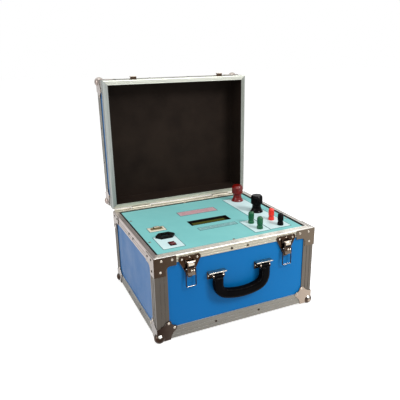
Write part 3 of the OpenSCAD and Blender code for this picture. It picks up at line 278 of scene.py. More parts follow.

# Each finish: its tones as screen values, and what differs from its kind; the side, front, up, left, back, fore and
# between tones are painted light and shade
finishes = {
    "blueLaminate": dict(plain, base=(4, 98, 162), second=(4, 88, 150), edge=0.0006, spec=0.1, dust=0.04,
        blotch=14, side=(0, 96, 158), front=((4, 98, 162), (12, 114, 180))),
    "postAluminium": dict(edgeMetal, base=(96, 90, 81), second=(84, 78, 71), rough=(0.36, 0.5), metal=0.8,
        grain=(1, 1, 0.02), bump=0.08, scuff=0.2, upright=1.0, front=((76, 70, 63), (98, 91, 83)),
        side=(100, 93, 85)),
    # Its up tone paints a bright highlight along the rails' top edge
    "railAluminium": dict(edgeMetal, base=(116, 112, 105), second=(102, 98, 92), rough=(0.36, 0.5), metal=0.8,
        grain=(0.03, 0.03, 1), bump=0.08, scuff=0.2, edgeHeight=-0.002, front=((104, 101, 95), (134, 130, 121)),
        side=(116, 111, 101), up=(206, 210, 210)),
    # Its up tone paints the rim's top as lit near white; its other tones paint each side lighter or darker
    "rimAluminium": dict(edgeMetal, base=(186, 180, 164), second=(172, 166, 152), rough=(0.3, 0.44),
        grain=(0.03, 0.03, 1), edgeHeight=0.204, front=((152, 147, 130), (168, 163, 149)), side=(158, 148, 144),
        up=(252, 249, 242), left=(180, 168, 163), back=(204, 199, 182), drawn=0.03),
    "lidAluminium": dict(edgeMetal, base=(146, 150, 143), second=(132, 136, 130), edgeHeight=0.2044,
        back=(206, 200, 184), left=(158, 163, 160), fore=(202, 204, 193), onLid=True),
    "lidPostAluminium": dict(edgeMetal, base=(138, 134, 128), second=(124, 120, 114), upright=1.0, onLid=True),
    "lidRailAluminium": dict(edgeMetal, base=(140, 138, 130), second=(126, 124, 116), edgeHeight=0.2804,
        onLid=True),
    # Its front is painted dark at the left end and light at the right, with painted shade round the ball corners
    "platedSteel": dict(shinySteel, base=(150, 140, 130), second=(112, 101, 92), rough=(0.12, 0.26), edge=0.0005,
        worn=(214, 206, 196), front=((28, 13, 8), (158, 143, 129)), side=(112, 101, 93), up=(176, 166, 156),
        between=(52, 38, 30)),
    "darkSteel": dict(shinySteel, base=(100, 88, 78), second=(60, 48, 40), rough=(0.16, 0.34), bump=0.04,
        scuff=0.25, blotch=70, worn=(176, 160, 146), front=((54, 42, 33), (100, 89, 77)), side=(142, 130, 122),
        up=(196, 180, 168)),
    "latchSteel": dict(shinySteel, base=(96, 84, 72), second=(48, 36, 28), bump=0.04, edge=0.0009, scuff=0.25,
        hollowShade=0.9, blotch=160, worn=(214, 198, 180), front=((46, 32, 22), (52, 38, 28)), up=(206, 190, 174)),
    "wireSteel": dict(shinySteel, base=(120, 112, 106), second=(70, 60, 54), rough=(0.1, 0.22), bump=0.02,
        edge=0.0004, hollowShade=0.6, blotch=140, front=((34, 27, 25), (40, 32, 29)), side=(22, 15, 13),
        up=(226, 222, 216)),
    "brightSteel": dict(shinySteel, base=(214, 206, 190), second=(164, 150, 134), rough=(0.1, 0.22), bump=0.02,
        blotch=150, up=(252, 248, 236), side=(96, 80, 68)),
    "leverSteel": dict(shinySteel, base=(66, 50, 38), second=(40, 28, 20), bump=0.04, edge=0.0009, scuff=0.25,
        hollowShade=0.9, blotch=160, worn=(226, 210, 194), front=((60, 44, 32), (66, 50, 38)), up=(214, 198, 182),
        side=(92, 76, 64)),
    "hingeSteel": dict(shinySteel, base=(190, 184, 168), second=(172, 165, 150), rough=(0.38, 0.5), metal=0.5,
        edge=0.0005, hollowShade=0.7, up=(208, 202, 186)),
    "lidCornerSteel": dict(shinySteel, base=(164, 152, 146), second=(128, 116, 110), rough=(0.16, 0.3),
        worn=(220, 210, 202), side=(150, 138, 132), up=(206, 196, 188)),
    "catchSteel": dict(shinySteel, base=(204, 194, 178), second=(150, 136, 120), rough=(0.12, 0.24), bump=0.02,
        blotch=150, up=(250, 246, 236), side=(96, 80, 68), front=((66, 50, 38), (74, 58, 46))),
    "gripPlastic": dict(plain, base=(4, 3, 4), second=(8, 7, 8), rough=(0.26, 0.36), grainScale=700, bump=0.04,
        edge=0.002, spec=0.02, blotch=30),
    "aquaPanel": dict(plain, base=(126, 196, 194), second=(118, 188, 187), rough=(0.5, 0.62), grainScale=2200,
        edge=0.0004, spec=0.25, scuff=0.03, dust=0.03, blotch=9),
    "plateFilm": dict(printed, base=(206, 232, 232), second=(198, 224, 226), dust=0.03, blotch=18),
    "pinkFilm": dict(printed, base=(196, 164, 168), second=(186, 150, 155), dust=0.03),
    "pinkInk": dict(printed, base=(186, 120, 128), second=(176, 108, 116)),
    "greyFilm": dict(printed, base=(138, 184, 184), second=(126, 170, 170), dust=0.03),
    "printInk": dict(printed, base=(44, 84, 88), second=(58, 98, 102), rough=(0.5, 0.62), grainScale=2600,
        edge=0.0001, scuff=0.05, spec=0.2, blotch=90),
    "gasketRubber": dict(plain, base=(8, 8, 8), second=(14, 14, 14), rough=(0.7, 0.85), grainScale=1300,
        bump=0.12, edge=0.0004, dust=0.03, spec=0.15, scuff=0.03, blotch=25),
    "blackPlastic": dict(plain, base=(5, 4, 4), second=(10, 9, 9), rough=(0.3, 0.44), bump=0.06, edge=0.0005,
        dust=0.01, spec=0.1, blotch=40),
    "rockerRed": dict(glossy, base=(104, 4, 10), second=(72, 2, 6)),
    "whiteInk": dict(plain, base=(150, 118, 114), second=(136, 104, 100), rough=(0.4, 0.5), grainScale=2600,
        bump=0.02, edge=0.0001, spec=0.3),
    "portShell": dict(plain, base=(226, 214, 178), second=(206, 190, 150), rough=(0.26, 0.4), metal=0.6,
        grainScale=900, bump=0.04, hollowShade=0.9, scuff=0.2, side=(110, 92, 60),
        front=((120, 104, 72), (120, 104, 72))),
    "portPlastic": dict(plain, base=(228, 223, 204), second=(216, 210, 190), rough=(0.4, 0.5), grainScale=1200,
        bump=0.04, edge=0.0002, hollowShade=0.7, spec=0.25, scuff=0.05, blotch=100),
    "darkRedCap": dict(glossy, base=(124, 16, 10), second=(92, 6, 4), rough=(0.12, 0.2), grainScale=700,
        edge=0.0008, spec=0.35, blotch=60),
    "blackCap": dict(glossy, base=(3, 2, 3), second=(6, 5, 7), grainScale=700, edge=0.0008, spec=0.07, blotch=60),
    "greenCap": dict(glossy, base=(8, 98, 56), second=(5, 78, 44), rough=(0.24, 0.34), bump=0.03, scuff=0.08),
    "orangeCap": dict(glossy, base=(244, 56, 40), second=(222, 40, 26), rough=(0.26, 0.36), bump=0.03,
        scuff=0.08),
    "contactMetal": dict(plain, base=(206, 192, 158), second=(176, 158, 116), rough=(0.18, 0.32), metal=1.0,
        grainScale=900, bump=0.03, hollowShade=0.5, scuff=0.2, blotch=90),
    "lidLining": dict(plain, base=(36, 27, 21), second=(27, 20, 16), rough=(0.62, 0.8), grainScale=620, bump=0.25,
        edge=0.0008, spec=0.08, scuff=0.04, blotch=12),
    "plywood": dict(plain, base=(186, 150, 104), second=(150, 112, 70), rough=(0.6, 0.75), grain=(0.06, 1, 1),
        grainScale=420, bump=0.12, edge=0.0006, blotch=18),
    "circuitGreen": dict(plain, base=(16, 92, 50), second=(30, 122, 70), grainScale=380, bump=0.06, scuff=0.04,
        blotch=160),
    "windings": dict(plain, base=(150, 70, 26), second=(106, 42, 14), rough=(0.28, 0.4), grain=(1, 1, 0.05),
        grainScale=900, bump=0.3, edge=0.001, coat=0.4, scuff=0.05, blotch=60),
    "supplyCase": dict(plain, base=(176, 180, 184), second=(150, 154, 160), rough=(0.34, 0.46), metal=0.7,
        grain=(1, 0.04, 1), edge=0.0005, scuff=0.15, blotch=20),
    "screwSteel": dict(fastenerSteel, base=(72, 62, 52), second=(44, 37, 32), rough=(0.22, 0.36), bump=0.04,
        hollowShade=0.9),
    "paleScrew": dict(fastenerSteel, base=(222, 218, 208), second=(190, 184, 172), rough=(0.22, 0.34), metal=0.9,
        hollowShade=0.4),
    # Its up tone paints a highlight on the rivet heads
    "rivetSteel": dict(fastenerSteel, base=(184, 174, 160), second=(150, 138, 126), rough=(0.14, 0.26), hollowShade=1.0,
        up=(236, 228, 214)),
}

# How strongly each tone is laid over those below it, and the tones that all finishes share, among them a painted
# highlight and the painted shade of hollows
layer = {"grain": 0.25, "side": 0.95, "front": 0.96, "up": 0.95, "between": 0.9, "glint": 0.95, "frameSide": 0.85,
         "line": 0.3, "seam": 0.8, "worn": 0.5}
relief = {"distance": 0.0004, "lineDepth": 4, "scuffGloss": 0.35, "coatRough": 0.08}
sharedTones = {"glint": colour(250, 248, 240), "line": colour(84, 76, 68), "seam": colour(60, 54, 48),
               "dust": colour(214, 210, 202), "hollowShade": colour(52, 44, 38)}
toneKeys = ("base", "second", "side", "up", "left", "back", "fore", "between", "worn")


def toned(values):  # the table's screen values as linear light
    made = {key: colour(*value) if key in toneKeys else value for key, value in values.items()}
    if "front" in made:  # its tones at the case's left and right ends: painted light and shade that changes across the front
        made["front"] = [colour(*value) for value in made["front"]]
    return made


def layFacings(tree, body, values):  # painted light and shade by which way a part faces: sides, fronts and tops lighter or darker, painted shade on rounded metal and a painted highlight on the ball corners
    facing = useGroup(tree, facingGroup).outputs
    if "side" in values:
        body = blendColour(tree, facing["Side"], body, values["side"], layer["side"])
    if "front" in values:
        tone = blendColour(tree, facing["Across"], *values["front"])
        body = blendColour(tree, facing["Front"], body, tone, layer["front"])
    if "up" in values:
        body = blendColour(tree, facing["Up"], body, values["up"], layer["up"])
    if "between" in values:
        # Painted shade: rounded metal between the flat faces, as round the ball corners, is darkened
        body = blendColour(tree, facing["Between"], body, values["between"], layer["between"])
        # Painted highlight: faces turned towards the key light are laid near white
        body = blendColour(tree, facing["Glint"], body, sharedTones["glint"], layer["glint"])
    return body


def layFrame(tree, body, values, lines):  # the metal edges' sides, each painted lighter or darker as light falls on it, then their lines and mitres
    feed(tree, lines, Place=shutPlace(tree) if values.get("onLid") else objectPlace(tree))
    for side in ("left", "back", "fore"):
        if side in values:
            body = blendColour(tree, lines.outputs[side.capitalize()], body, values[side], layer["frameSide"])
    body = blendColour(tree, lines.outputs["Line"], body, sharedTones["line"], values.get("drawn", layer["line"]))
    return blendColour(tree, lines.outputs["Seam"], body, sharedTones["seam"], layer["seam"])


def makeFinish(name, table):
    values = toned(table)
    material = bpy.data.materials.new(name)
    material.use_nodes = True
    tree = material.node_tree
    shader = tree.nodes["Principled BSDF"]
    grain = useGroup(tree, grainGroup, Stretch=values["grain"], Scale=float(values["grainScale"]))
    marks = useGroup(tree, handlingGroup, Scale=float(values["blotch"]), Scuffs=values["scuff"])
    edges = useGroup(tree, edgeGroup, Radius=values["edge"])
    body = blendColour(tree, marks.outputs["Blotch"], values["base"], values["second"])
    body = blendColour(tree, grain.outputs["Tone"], body, values["second"], layer["grain"])
    if any(key in values for key in ("front", "side", "up")):
        body = layFacings(tree, body, values)
    lines = None
    if "edgeHeight" in values:
        lines = useGroup(tree, frameGroup, Edge_Height=values["edgeHeight"], Upright=values["upright"])
        body = layFrame(tree, body, values, lines)
    if "dust" in values:
        film = useGroup(tree, dustGroup, Amount=values["dust"])
        body = blendColour(tree, film.outputs["Dust"], body, sharedTones["dust"])
    # Painted shade: corners and hollows that ambient occlusion finds are darkened
    if "hollowShade" in values:
        body = blendColour(tree, edges.outputs["Dirt"], body, sharedTones["hollowShade"], values["hollowShade"])
    worn = values.get("worn", tuple(min(1.0, 0.12 + 1.1 * v) for v in values["base"][:3]) + (1,))
    body = blendColour(tree, edges.outputs["Edge"], body, worn, layer["worn"])
    gloss = remap(tree, marks.outputs["Blotch"], 0.0, 1.0, *values["rough"])
    scuffed = times(tree, marks.outputs["Scuff"], relief["scuffGloss"])
    height = minus(tree, grain.outputs["Height"], marks.outputs["Scuff"])
    if lines:
        depth = values.get("drawn", layer["line"]) * relief["lineDepth"]
        height = minus(tree, height, times(tree, lines.outputs["Line"], depth))
    bump = newNode(tree, "ShaderNodeBump", Strength=values["bump"], Distance=relief["distance"], Height=height,
                   Normal=edges.outputs["Normal"])
    feed(tree, shader, Base_Color=body, Roughness=plus(tree, gloss, scuffed, True), Normal=bump.outputs[0],
         Metallic=values.get("metal", 0.0), Specular_IOR_Level=values.get("spec", 0.5),
         Coat_Weight=values.get("coat", 0.0), Coat_Roughness=relief["coatRough"])
    return material


finish = {name: makeFinish(name, values) for name, values in finishes.items()}
print("finishes made:", len(finish))

# The display: dark glass, an olive field and its blank character cells
display = {
    "middle": (0.84 * mm, -6.3 * mm), "field": (46.5 * mm, 8.6 * mm), "cellPitch": (4.6 * mm, 8.2 * mm),
    "cellShare": (0.78, 0.82), "glass": (22, 20, 10), "deepGlass": (26, 24, 12),
    "olive": colour(84, 86, 34), "cell": colour(73, 75, 27),
}


def makeDisplay(values):
    material = makeFinish("displayGlass", {
        "base": values["glass"], "second": values["deepGlass"], "rough": (0.1, 0.18), "grain": (1, 1, 1),
        "grainScale": 900, "bump": 0.01, "edge": 0.0003, "spec": 0.2, "scuff": 0.03, "blotch": 30})
    tree = material.node_tree
    shader = tree.nodes["Principled BSDF"]
    old = shader.inputs["Base Color"].links[0].from_socket
    place = splitVector(tree, objectPlace(tree))
    inField, inCell = None, None
    for axis in (0, 1):
        off = minus(tree, place[axis], values["middle"][axis])
        near = math2(tree, "LESS_THAN", math2(tree, "ABSOLUTE", off), values["field"][axis])
        step = plus(tree, math2(tree, "DIVIDE", off, values["cellPitch"][axis]), 100.5 - axis * 0.5)
        share = math2(tree, "ABSOLUTE", minus(tree, math2(tree, "FRACT", step), 0.5))
        cell = math2(tree, "LESS_THAN", share, values["cellShare"][axis] / 2)
        inField = near if inField is None else times(tree, inField, near)
        inCell = cell if inCell is None else times(tree, inCell, cell)
    field = blendColour(tree, inCell, values["olive"], values["cell"])
    feed(tree, shader, Base_Color=blendColour(tree, inField, old, field))
    return material


finish["displayGlass"] = makeDisplay(display)

# Which finish each solid takes
dressing = {
    "blueLaminate": "front_board back_board left_board right_board lid_board lid_side_boards",
    "postAluminium": "corner_posts",
    "railAluminium": "bottom_rails",
    "rimAluminium": "base_rim",
    "lidAluminium": "lid_rim",
    "lidPostAluminium": "lid_posts",
    "lidRailAluminium": "lid_rails",
    "platedSteel": "base_corners",
    "lidCornerSteel": "lid_corners",
    "hingeSteel": "hinge_base_leaves hinge_lid_leaves",
    "darkSteel": "rim_braces",
    "latchSteel": "latch_plates handle_brackets",
    "wireSteel": "left_bail right_bail",
    "leverSteel": "left_lever right_lever",
    "catchSteel": "lid_catches",
    "brightSteel": "latch_pins handle_pins hinge_pins",
    "gripPlastic": "handle_grip",
    "aquaPanel": "instrument_panel",
    "gasketRubber": "panel_gasket",
    "blackPlastic": "lcd_bezel mains_inlet switch_bezel",
    "displayGlass": "lcd_window",
    "rockerRed": "switch_rocker",
    "portShell": "serial_port",
    "portPlastic": "port_insert",
    "darkRedCap": "big_red_base big_red_cap",
    "blackCap": "big_black_base big_black_cap black_base black_cap",
    "greenCap": "green_bases green_cap_rear green_cap_front",
    "orangeCap": "red_base red_cap",
    "contactMetal": "inlet_pins terminal_studs terminal_nuts board_standoffs",
    "lidLining": "lid_lining",
    "plywood": "base_board panel_ledge",
    "circuitGreen": "lcd_module control_board",
    "windings": "transformer",
    "supplyCase": "power_supply heatsink",
}
for name, members in dressing.items():
    for member in members.split():
        solid = nodes[member]
        solid.data.materials.clear()
        solid.data.materials.append(finish[name])
print("solids dressed")


def addPiece(name, mesh, body, materialName):
    piece = bpy.data.objects.new(name, mesh)
    bpy.context.scene.collection.objects.link(piece)
    if not mesh.materials:
        mesh.materials.append(finish[materialName])
    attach(piece, body)


def roundedOutline(x0, x1, y0, y1, radius, steps=5):
    points = []
    for cx, cy, start in ((x1 - radius, y1 - radius, 0), (x0 + radius, y1 - radius, 90),
                          (x0 + radius, y0 + radius, 180), (x1 - radius, y0 + radius, 270)):
        for step in range(steps + 1):
            turn = math.radians(start + 90 * step / steps)
            points.append((cx + radius * math.cos(turn), cy + radius * math.sin(turn)))
    return points


def plateMesh(bm, outline, low, high, bevel):  # a thin plate whose top edge is eased
    rings = []
    cx = sum(p[0] for p in outline) / len(outline)
    cy = sum(p[1] for p in outline) / len(outline)
    widest = max(abs(p[0] - cx) for p in outline), max(abs(p[1] - cy) for p in outline)
    for inset, z in ((0, low), (0, high - bevel), (bevel, high)):
        share = (1 - inset / widest[0], 1 - inset / widest[1])
        rings.append([bm.verts.new(((cx + (x - cx) * share[0]) * mm, (cy + (y - cy) * share[1]) * mm, z * mm))
                      for x, y in outline])
    count = len(outline)
    for lower, upper in zip(rings, rings[1:]):
        for i in range(count):
            bm.faces.new((lower[i], lower[(i + 1) % count], upper[(i + 1) % count], upper[i]))
    bm.faces.new(list(reversed(rings[0])))
    bm.faces.new(rings[-1])


def frameMesh(bm, x0, x1, y0, y1, radius, width, low, high):  # a printed line round a plate
    outer = roundedOutline(x0, x1, y0, y1, radius)
    inner = roundedOutline(x0 + width, x1 - width, y0 + width, y1 - width, max(radius - width, 0.05))
    rings = [[bm.verts.new((x * mm, y * mm, z * mm)) for x, y in outline]
             for outline, z in ((outer, low), (outer, high), (inner, high), (inner, low))]
    count = len(outer)
    for a, b in zip(rings, rings[1:] + rings[:1]):
        for i in range(count):
            bm.faces.new((a[i], a[(i + 1) % count], b[(i + 1) % count], b[i]))


def finishMesh(name, bm):
    bmesh.ops.recalc_face_normals(bm, faces=bm.faces)
    mesh = bpy.data.meshes.new(name)
    bm.to_mesh(mesh)
    bm.free()
    return mesh


# Films and printed lines on the panel: left, right, front and back edge in millimetres
panelFilms = {
    "terminalFilm": {"edges": (109.4, 171, -134, 130), "finish": "plateFilm", "slot": "panel_sheet"},
    "smallTerminalFilm": {"edges": (65, 108.6, -136, -53), "finish": "plateFilm", "slot": "panel_sheet"},
    "inletFilm": {"edges": (-172, -118, -133, -54), "finish": "plateFilm", "slot": "panel_sheet"},
    "portFilm": {"edges": (-166.5, -122, -20.5, 10), "finish": "portPlastic", "slot": "port_plastic"},
    "pinkLabel": {"edges": (-55, 57, 56, 87), "finish": "pinkFilm", "slot": "panel_sheet"},
    "greyLabel": {"edges": (-50, 56, -63, -45), "finish": "greyFilm", "slot": "panel_sheet"},
}
filmValues = {"thick": 0.35, "bevel": 0.12, "radius": 1.6, "line": 1.15, "lineRise": 0.12}
for name, values in panelFilms.items():
    x0, x1, y0, y1 = values["edges"]
    bm = bmesh.new()
    top = case["panel"] + filmValues["thick"]
    plateMesh(bm, roundedOutline(x0, x1, y0, y1, filmValues["radius"]), case["panel"] - 0.05, top,
              filmValues["bevel"])
    addPiece(name, finishMesh(name, bm), "case", values["finish"])
    bm = bmesh.new()
    frameMesh(bm, x0 - 0.4, x1 + 0.4, y0 - 0.4, y1 + 0.4, filmValues["radius"], filmValues["line"],
              case["panel"] - 0.05, top + filmValues["lineRise"])
    addPiece(name + "Line", finishMesh(name + "Line", bm), "case", "printInk")
print("panel films made")

# Plain ruled bars in the places of the labels' writing
ruledRows = {
    "pinkRules": {"area": (-47, 49, 62, 81), "rows": 3, "height": 1.3, "finish": "pinkInk", "gaps": (5, 3, 7)},
    "greyRules": {"area": (-44, 50, -59, -49), "rows": 2, "height": 0.9, "finish": "printInk", "gaps": (6, 4, 5)},
}
for name, values in ruledRows.items():
    x0, x1, y0, y1 = values["area"]
    bm = bmesh.new()
    for row in range(values["rows"]):
        y = y0 + (y1 - y0) * (row + 0.5) / values["rows"]
        x, part = x0 + 2 * row, row
        while x < x1 - 6:
            length = 9 + 5 * ((part * 7) % 4)
            end = min(x + length, x1 - 2 * row)
            low = case["panel"] + filmValues["thick"] - 0.05
            plateMesh(bm, roundedOutline(x, end, y - values["height"] / 2, y + values["height"] / 2, 0.4, 2),
                      low, low + 0.12, 0.03)
            x, part = end + values["gaps"][part % 3], part + 1
    addPiece(name, finishMesh(name, bm), "case", values["finish"])


def barAlongX(bm, x0, x1, outline, ease=0.6, tip=0.8):  # a closed profile drawn along X, its ends eased
    cy = sum(p[0] for p in outline) / len(outline)
    cz = sum(p[1] for p in outline) / len(outline)
    rings = []
    for x, share in ((x0, tip), (x0 + ease, 1), (x1 - ease, 1), (x1, tip)):
        rings.append([bm.verts.new((x * mm, (cy + (y - cy) * share) * mm, (cz + (z - cz) * share) * mm))
                      for y, z in outline])
    count = len(outline)
    for a, b in zip(rings, rings[1:]):
        for i in range(count):
            bm.faces.new((a[i], a[(i + 1) % count], b[(i + 1) % count], b[i]))
    bm.faces.new(list(reversed(rings[0])))
    bm.faces.new(rings[-1])


def ovalProfile(y, z, halfY, halfZ, steps=24):
    return [(y + halfY * math.cos(2 * math.pi * i / steps), z + halfZ * math.sin(2 * math.pi * i / steps))
            for i in range(steps)]


def addBars(name, runs, profile, body, materialName, slot, *ends):
    bm = bmesh.new()
    for x0, x1 in runs:
        barAlongX(bm, x0, x1, ovalProfile(*profile), *ends)
    mesh = finishMesh(name, bm)
    mesh.shade_smooth()
    addPiece(name, mesh, body, materialName)


pairSides = (("left", -1), ("right", 1))
# The barrel strip between the hinges, round their axis
hingeBead = {"radius": 3.3, "runs": [(-206, -157), (-97, 97), (157, 206)]}
addBars("hingeBead", hingeBead["runs"], (case["hingeY"], case["hingeZ"], hingeBead["radius"], hingeBead["radius"]),
        "case", "hingeSteel", "edge_aluminium")

# A pale rod along the front of each handle bracket's lip: the lip's rolled edge, painted pale as a highlight where
# it shines
bracketLip = {"at": 62, "half": 22.2, "profile": (-186.3, 145.5, 0.9, 1.3)}
for side, way in pairSides:
    middle = way * bracketLip["at"]
    addBars(side + "BracketLip", [(middle - bracketLip["half"], middle + bracketLip["half"])],
            bracketLip["profile"], "case", "paleScrew", "plated_steel")

# On each latch lever: a bright fold across it and, below it, a black strip that is painted shade for the slot, with
# each one's height, half and rise
latchFold = {"front": -185.0, "half": 7.4, "ends": (1.2, 0.7), "fold": (180, 4.6, 1.7), "slot": (172.4, 2.2, 0.25)}
for side, way in pairSides:
    middle = way * case["latchX"]
    for key, finishName in (("fold", "brightSteel"), ("slot", "blackPlastic")):
        z, half, proud = latchFold[key]
        addBars(side + "Latch" + key.capitalize(), [(middle - latchFold["half"], middle + latchFold["half"])],
                (latchFold["front"], z, proud, half), side + "_lever", finishName, "plated_steel",
                *latchFold["ends"])
print("bead and latch folds made")


def newTree(name, sizes):
    tree = bpy.data.node_groups.new(name, "GeometryNodeTree")
    tree.interface.new_socket("Geometry", in_out="INPUT", socket_type="NodeSocketGeometry")
    for label, value in sizes.items():
        tree.interface.new_socket(label, in_out="INPUT", socket_type="NodeSocketFloat").default_value = value
    tree.interface.new_socket("Material", in_out="INPUT", socket_type="NodeSocketMaterial")
    tree.interface.new_socket("Geometry", in_out="OUTPUT", socket_type="NodeSocketGeometry")
    return tree, tree.nodes.new("NodeGroupInput").outputs, tree.nodes.new("NodeGroupOutput")


def placeOnPoints(tree, into, out, head):  # sets the head on every point, along its facing
    facing = newNode(tree, "GeometryNodeInputNamedAttribute", Name="facing")
    facing.data_type = "FLOAT_VECTOR"
    turn = newNode(tree, "FunctionNodeAlignRotationToVector", Vector=facing.outputs["Attribute"])
    turn.axis = "Z"
    spread = newNode(tree, "GeometryNodeInstanceOnPoints", Points=into["Geometry"], Instance=head,
                     Rotation=turn.outputs[0])
    real = newNode(tree, "GeometryNodeRealizeInstances", Geometry=spread.outputs[0])
    paint = newNode(tree, "GeometryNodeSetMaterial", Geometry=real.outputs[0], Material=into["Material"])
    feed(tree, out, Geometry=paint.outputs[0])


def makeRivetTree():  # a domed head with a flat rim
    tree, into, out = newTree("domedRivets", {"Head Radius": 0.003, "Head Height": 0.0012})
    ball = newNode(tree, "GeometryNodeMeshUVSphere", Segments=20, Rings=12, Radius=1.0)
    wide = into["Head Radius"]
    shape = newNode(tree, "GeometryNodeTransform", Geometry=ball.outputs[0],
                    Scale=vectorFrom(tree, wide, wide, into["Head Height"]))
    smooth = newNode(tree, "GeometryNodeSetShadeSmooth", Geometry=shape.outputs[0])
    placeOnPoints(tree, into, out, smooth.outputs[0])
    return tree


def makeScrewTree():  # a pan head with a cross recess
    tree, into, out = newTree("crossScrews", {"Head Radius": 0.0032, "Head Height": 0.0012, "Slot Width": 0.0009})
    height, slot = into["Head Height"], into["Slot Width"]
    head = newNode(tree, "GeometryNodeMeshCylinder", Vertices=24, Radius=into["Head Radius"],
                   Depth=times(tree, height, 2.0))
    cut = newNode(tree, "GeometryNodeMeshBoolean")
    cut.operation = "DIFFERENCE"
    cut.solver = "EXACT"
    feed(tree, cut, Mesh_1=head.outputs[0])
    long = times(tree, into["Head Radius"], 1.25)
    deep = times(tree, height, 1.1)
    for x, y in ((long, slot), (slot, long)):
        bar = newNode(tree, "GeometryNodeMeshCube", Size=vectorFrom(tree, x, y, deep))
        lift = newNode(tree, "GeometryNodeTransform", Geometry=bar.outputs[0],
                       Translation=vectorFrom(tree, 0, 0, height))
        feed(tree, cut, Mesh_2=lift.outputs[0])
    placeOnPoints(tree, into, out, cut.outputs[0])
    return tree


rivetTree = makeRivetTree()
screwTree = makeScrewTree()


def scatter(name, tree, places, body, materialName, *head):  # its radius, height and slot in millimetres
    seed = bpy.data.meshes.new(name + "Points")
    seed.from_pydata([Vector(p) * mm for p, d in places], [], [])
    facing = seed.attributes.new("facing", "FLOAT_VECTOR", "POINT")
    for i, (p, d) in enumerate(places):
        facing.data[i].vector = Vector(d)
    carrier = bpy.data.objects.new(name + "Points", seed)
    bpy.context.scene.collection.objects.link(carrier)
    modifier = carrier.modifiers.new("fasteners", "NODES")
    modifier.node_group = tree
    wanted = dict(zip(("Head Radius", "Head Height", "Slot Width"), [v * mm for v in head]))
    wanted["Material"] = finish[materialName]
    for item in tree.interface.items_tree:
        if item.in_out == "INPUT" and item.name in wanted:
            modifier[item.identifier] = wanted[item.name]
    view = carrier.evaluated_get(bpy.context.evaluated_depsgraph_get())
    mesh = bpy.data.meshes.new_from_object(view)
    mesh.name = name
    bpy.data.objects.remove(carrier)
    addPiece(name, mesh, body, materialName)


def spot(x, y, z, *way):  # a fastener's place, and the way it faces
    return Vector((x, y, z)), Vector(way)


def sideDirections(side):  # along the side, and out of it
    along = [(1, 0, 0), (0, 1, 0), (-1, 0, 0), (0, -1, 0)][side]
    outward = [(0, -1, 0), (1, 0, 0), (0, 1, 0), (-1, 0, 0)][side]
    return Vector(along), Vector(outward)


def onSide(side, run, z, proud=0.0):  # a place on a side, measured from its first corner
    along, outward = sideDirections(side)
    x, y = corners[side]
    return Vector((x, y, z)) + along * run + outward * proud, outward


def sideLength(side):
    return case["width"] if side % 2 == 0 else case["depth"]


# Rivets of one ball corner's face, along and up from the corner, and of one brace's face
cornerRivets = {"spots": [(28, 41.5), (41.5, 28)], "proud": 1.2}
braceRivets = {"spots": [(17, -8), (42, -9), (14, -34)], "proud": 1.2}


def bothEnds(side, run):
    return run, sideLength(side) - run


def cornerSpots(height, up):  # on the sides, then on the face that all four corners share
    found = []
    for side in range(4):
        for run, rise in cornerRivets["spots"]:
            found += [onSide(side, start, height + up * rise, cornerRivets["proud"])
                      for start in bothEnds(side, run)]
    for x, y in corners:
        for a, b in cornerRivets["spots"]:
            found.append(spot(x - math.copysign(a, x), y - math.copysign(b, y),
                              height - up * cornerRivets["proud"], 0, 0, -up))
    return found


bracePlaces = {"front": [], "side": []}
for side in range(4):
    for run, drop in braceRivets["spots"]:
        bracePlaces["side" if side else "front"] += [
            onSide(side, start, case["rim"] + drop, braceRivets["proud"]) for start in bothEnds(side, run)]
scatter("baseCornerRivets", rivetTree, cornerSpots(case["low"], 1), "case", "rivetSteel", 3.1, 1.3)
scatter("frontBraceRivets", rivetTree, bracePlaces["front"], "case", "rivetSteel", 3.1, 1.3)
scatter("sideBraceRivets", rivetTree, bracePlaces["side"], "case", "screwSteel", 3.1, 1.3)

# The lid's ball corners stand the other way up, at its top when it is shut, with its catches' and hinges' rivets
lidRivets = {"catch": (-5, 5), "catchProud": 2, "catchUp": 14, "hinge": (-20, 20), "hingeProud": 1.8, "hingeUp": 12}
lidPlaces = cornerSpots(case["lidTop"], -1)
for way in (-1, 1):
    middle = way * case["latchX"]
    lidPlaces += [spot(middle + off, -halfD - lidRivets["catchProud"], case["lidBottom"] + lidRivets["catchUp"],
                       0, -1, 0) for off in lidRivets["catch"]]
    lidPlaces += [spot(middle + off, halfD + lidRivets["hingeProud"], case["hingeZ"] + lidRivets["hingeUp"],
                       0, 1, 0) for off in lidRivets["hinge"]]
scatter("lidRivets", rivetTree, [(openPoint(p), openTurn(d)) for p, d in lidPlaces], "lid", "rivetSteel", 2.7, 1.1)

# Rivets of the latch plates, hinges and handle brackets: how far along, how high and how proud
fittings = {"latch": [(-18.5, 190.5), (18.5, 190.5), (0, 150)], "latchProud": 1.5, "hinge": (-20, 20),
            "hingeDown": 12, "hingeProud": 1.8, "bracket": (-18.3, 18.3), "bracketUp": 136}
fittingPlaces = []
for way in (-1, 1):
    middle = way * case["latchX"]
    fittingPlaces += [spot(middle + off, -halfD - fittings["latchProud"], z, 0, -1, 0)
                      for off, z in fittings["latch"]]
    fittingPlaces += [spot(middle + off, halfD + fittings["hingeProud"], case["hingeZ"] - fittings["hingeDown"],
                           0, 1, 0) for off in fittings["hinge"]]
    fittingPlaces += [spot(way * bracketLip["at"] + off, -halfD, fittings["bracketUp"], 0, -1, 0)
                      for off in fittings["bracket"]]
scatter("fittingRivets", rivetTree, fittingPlaces, "case", "rivetSteel", 2.6, 1.2)

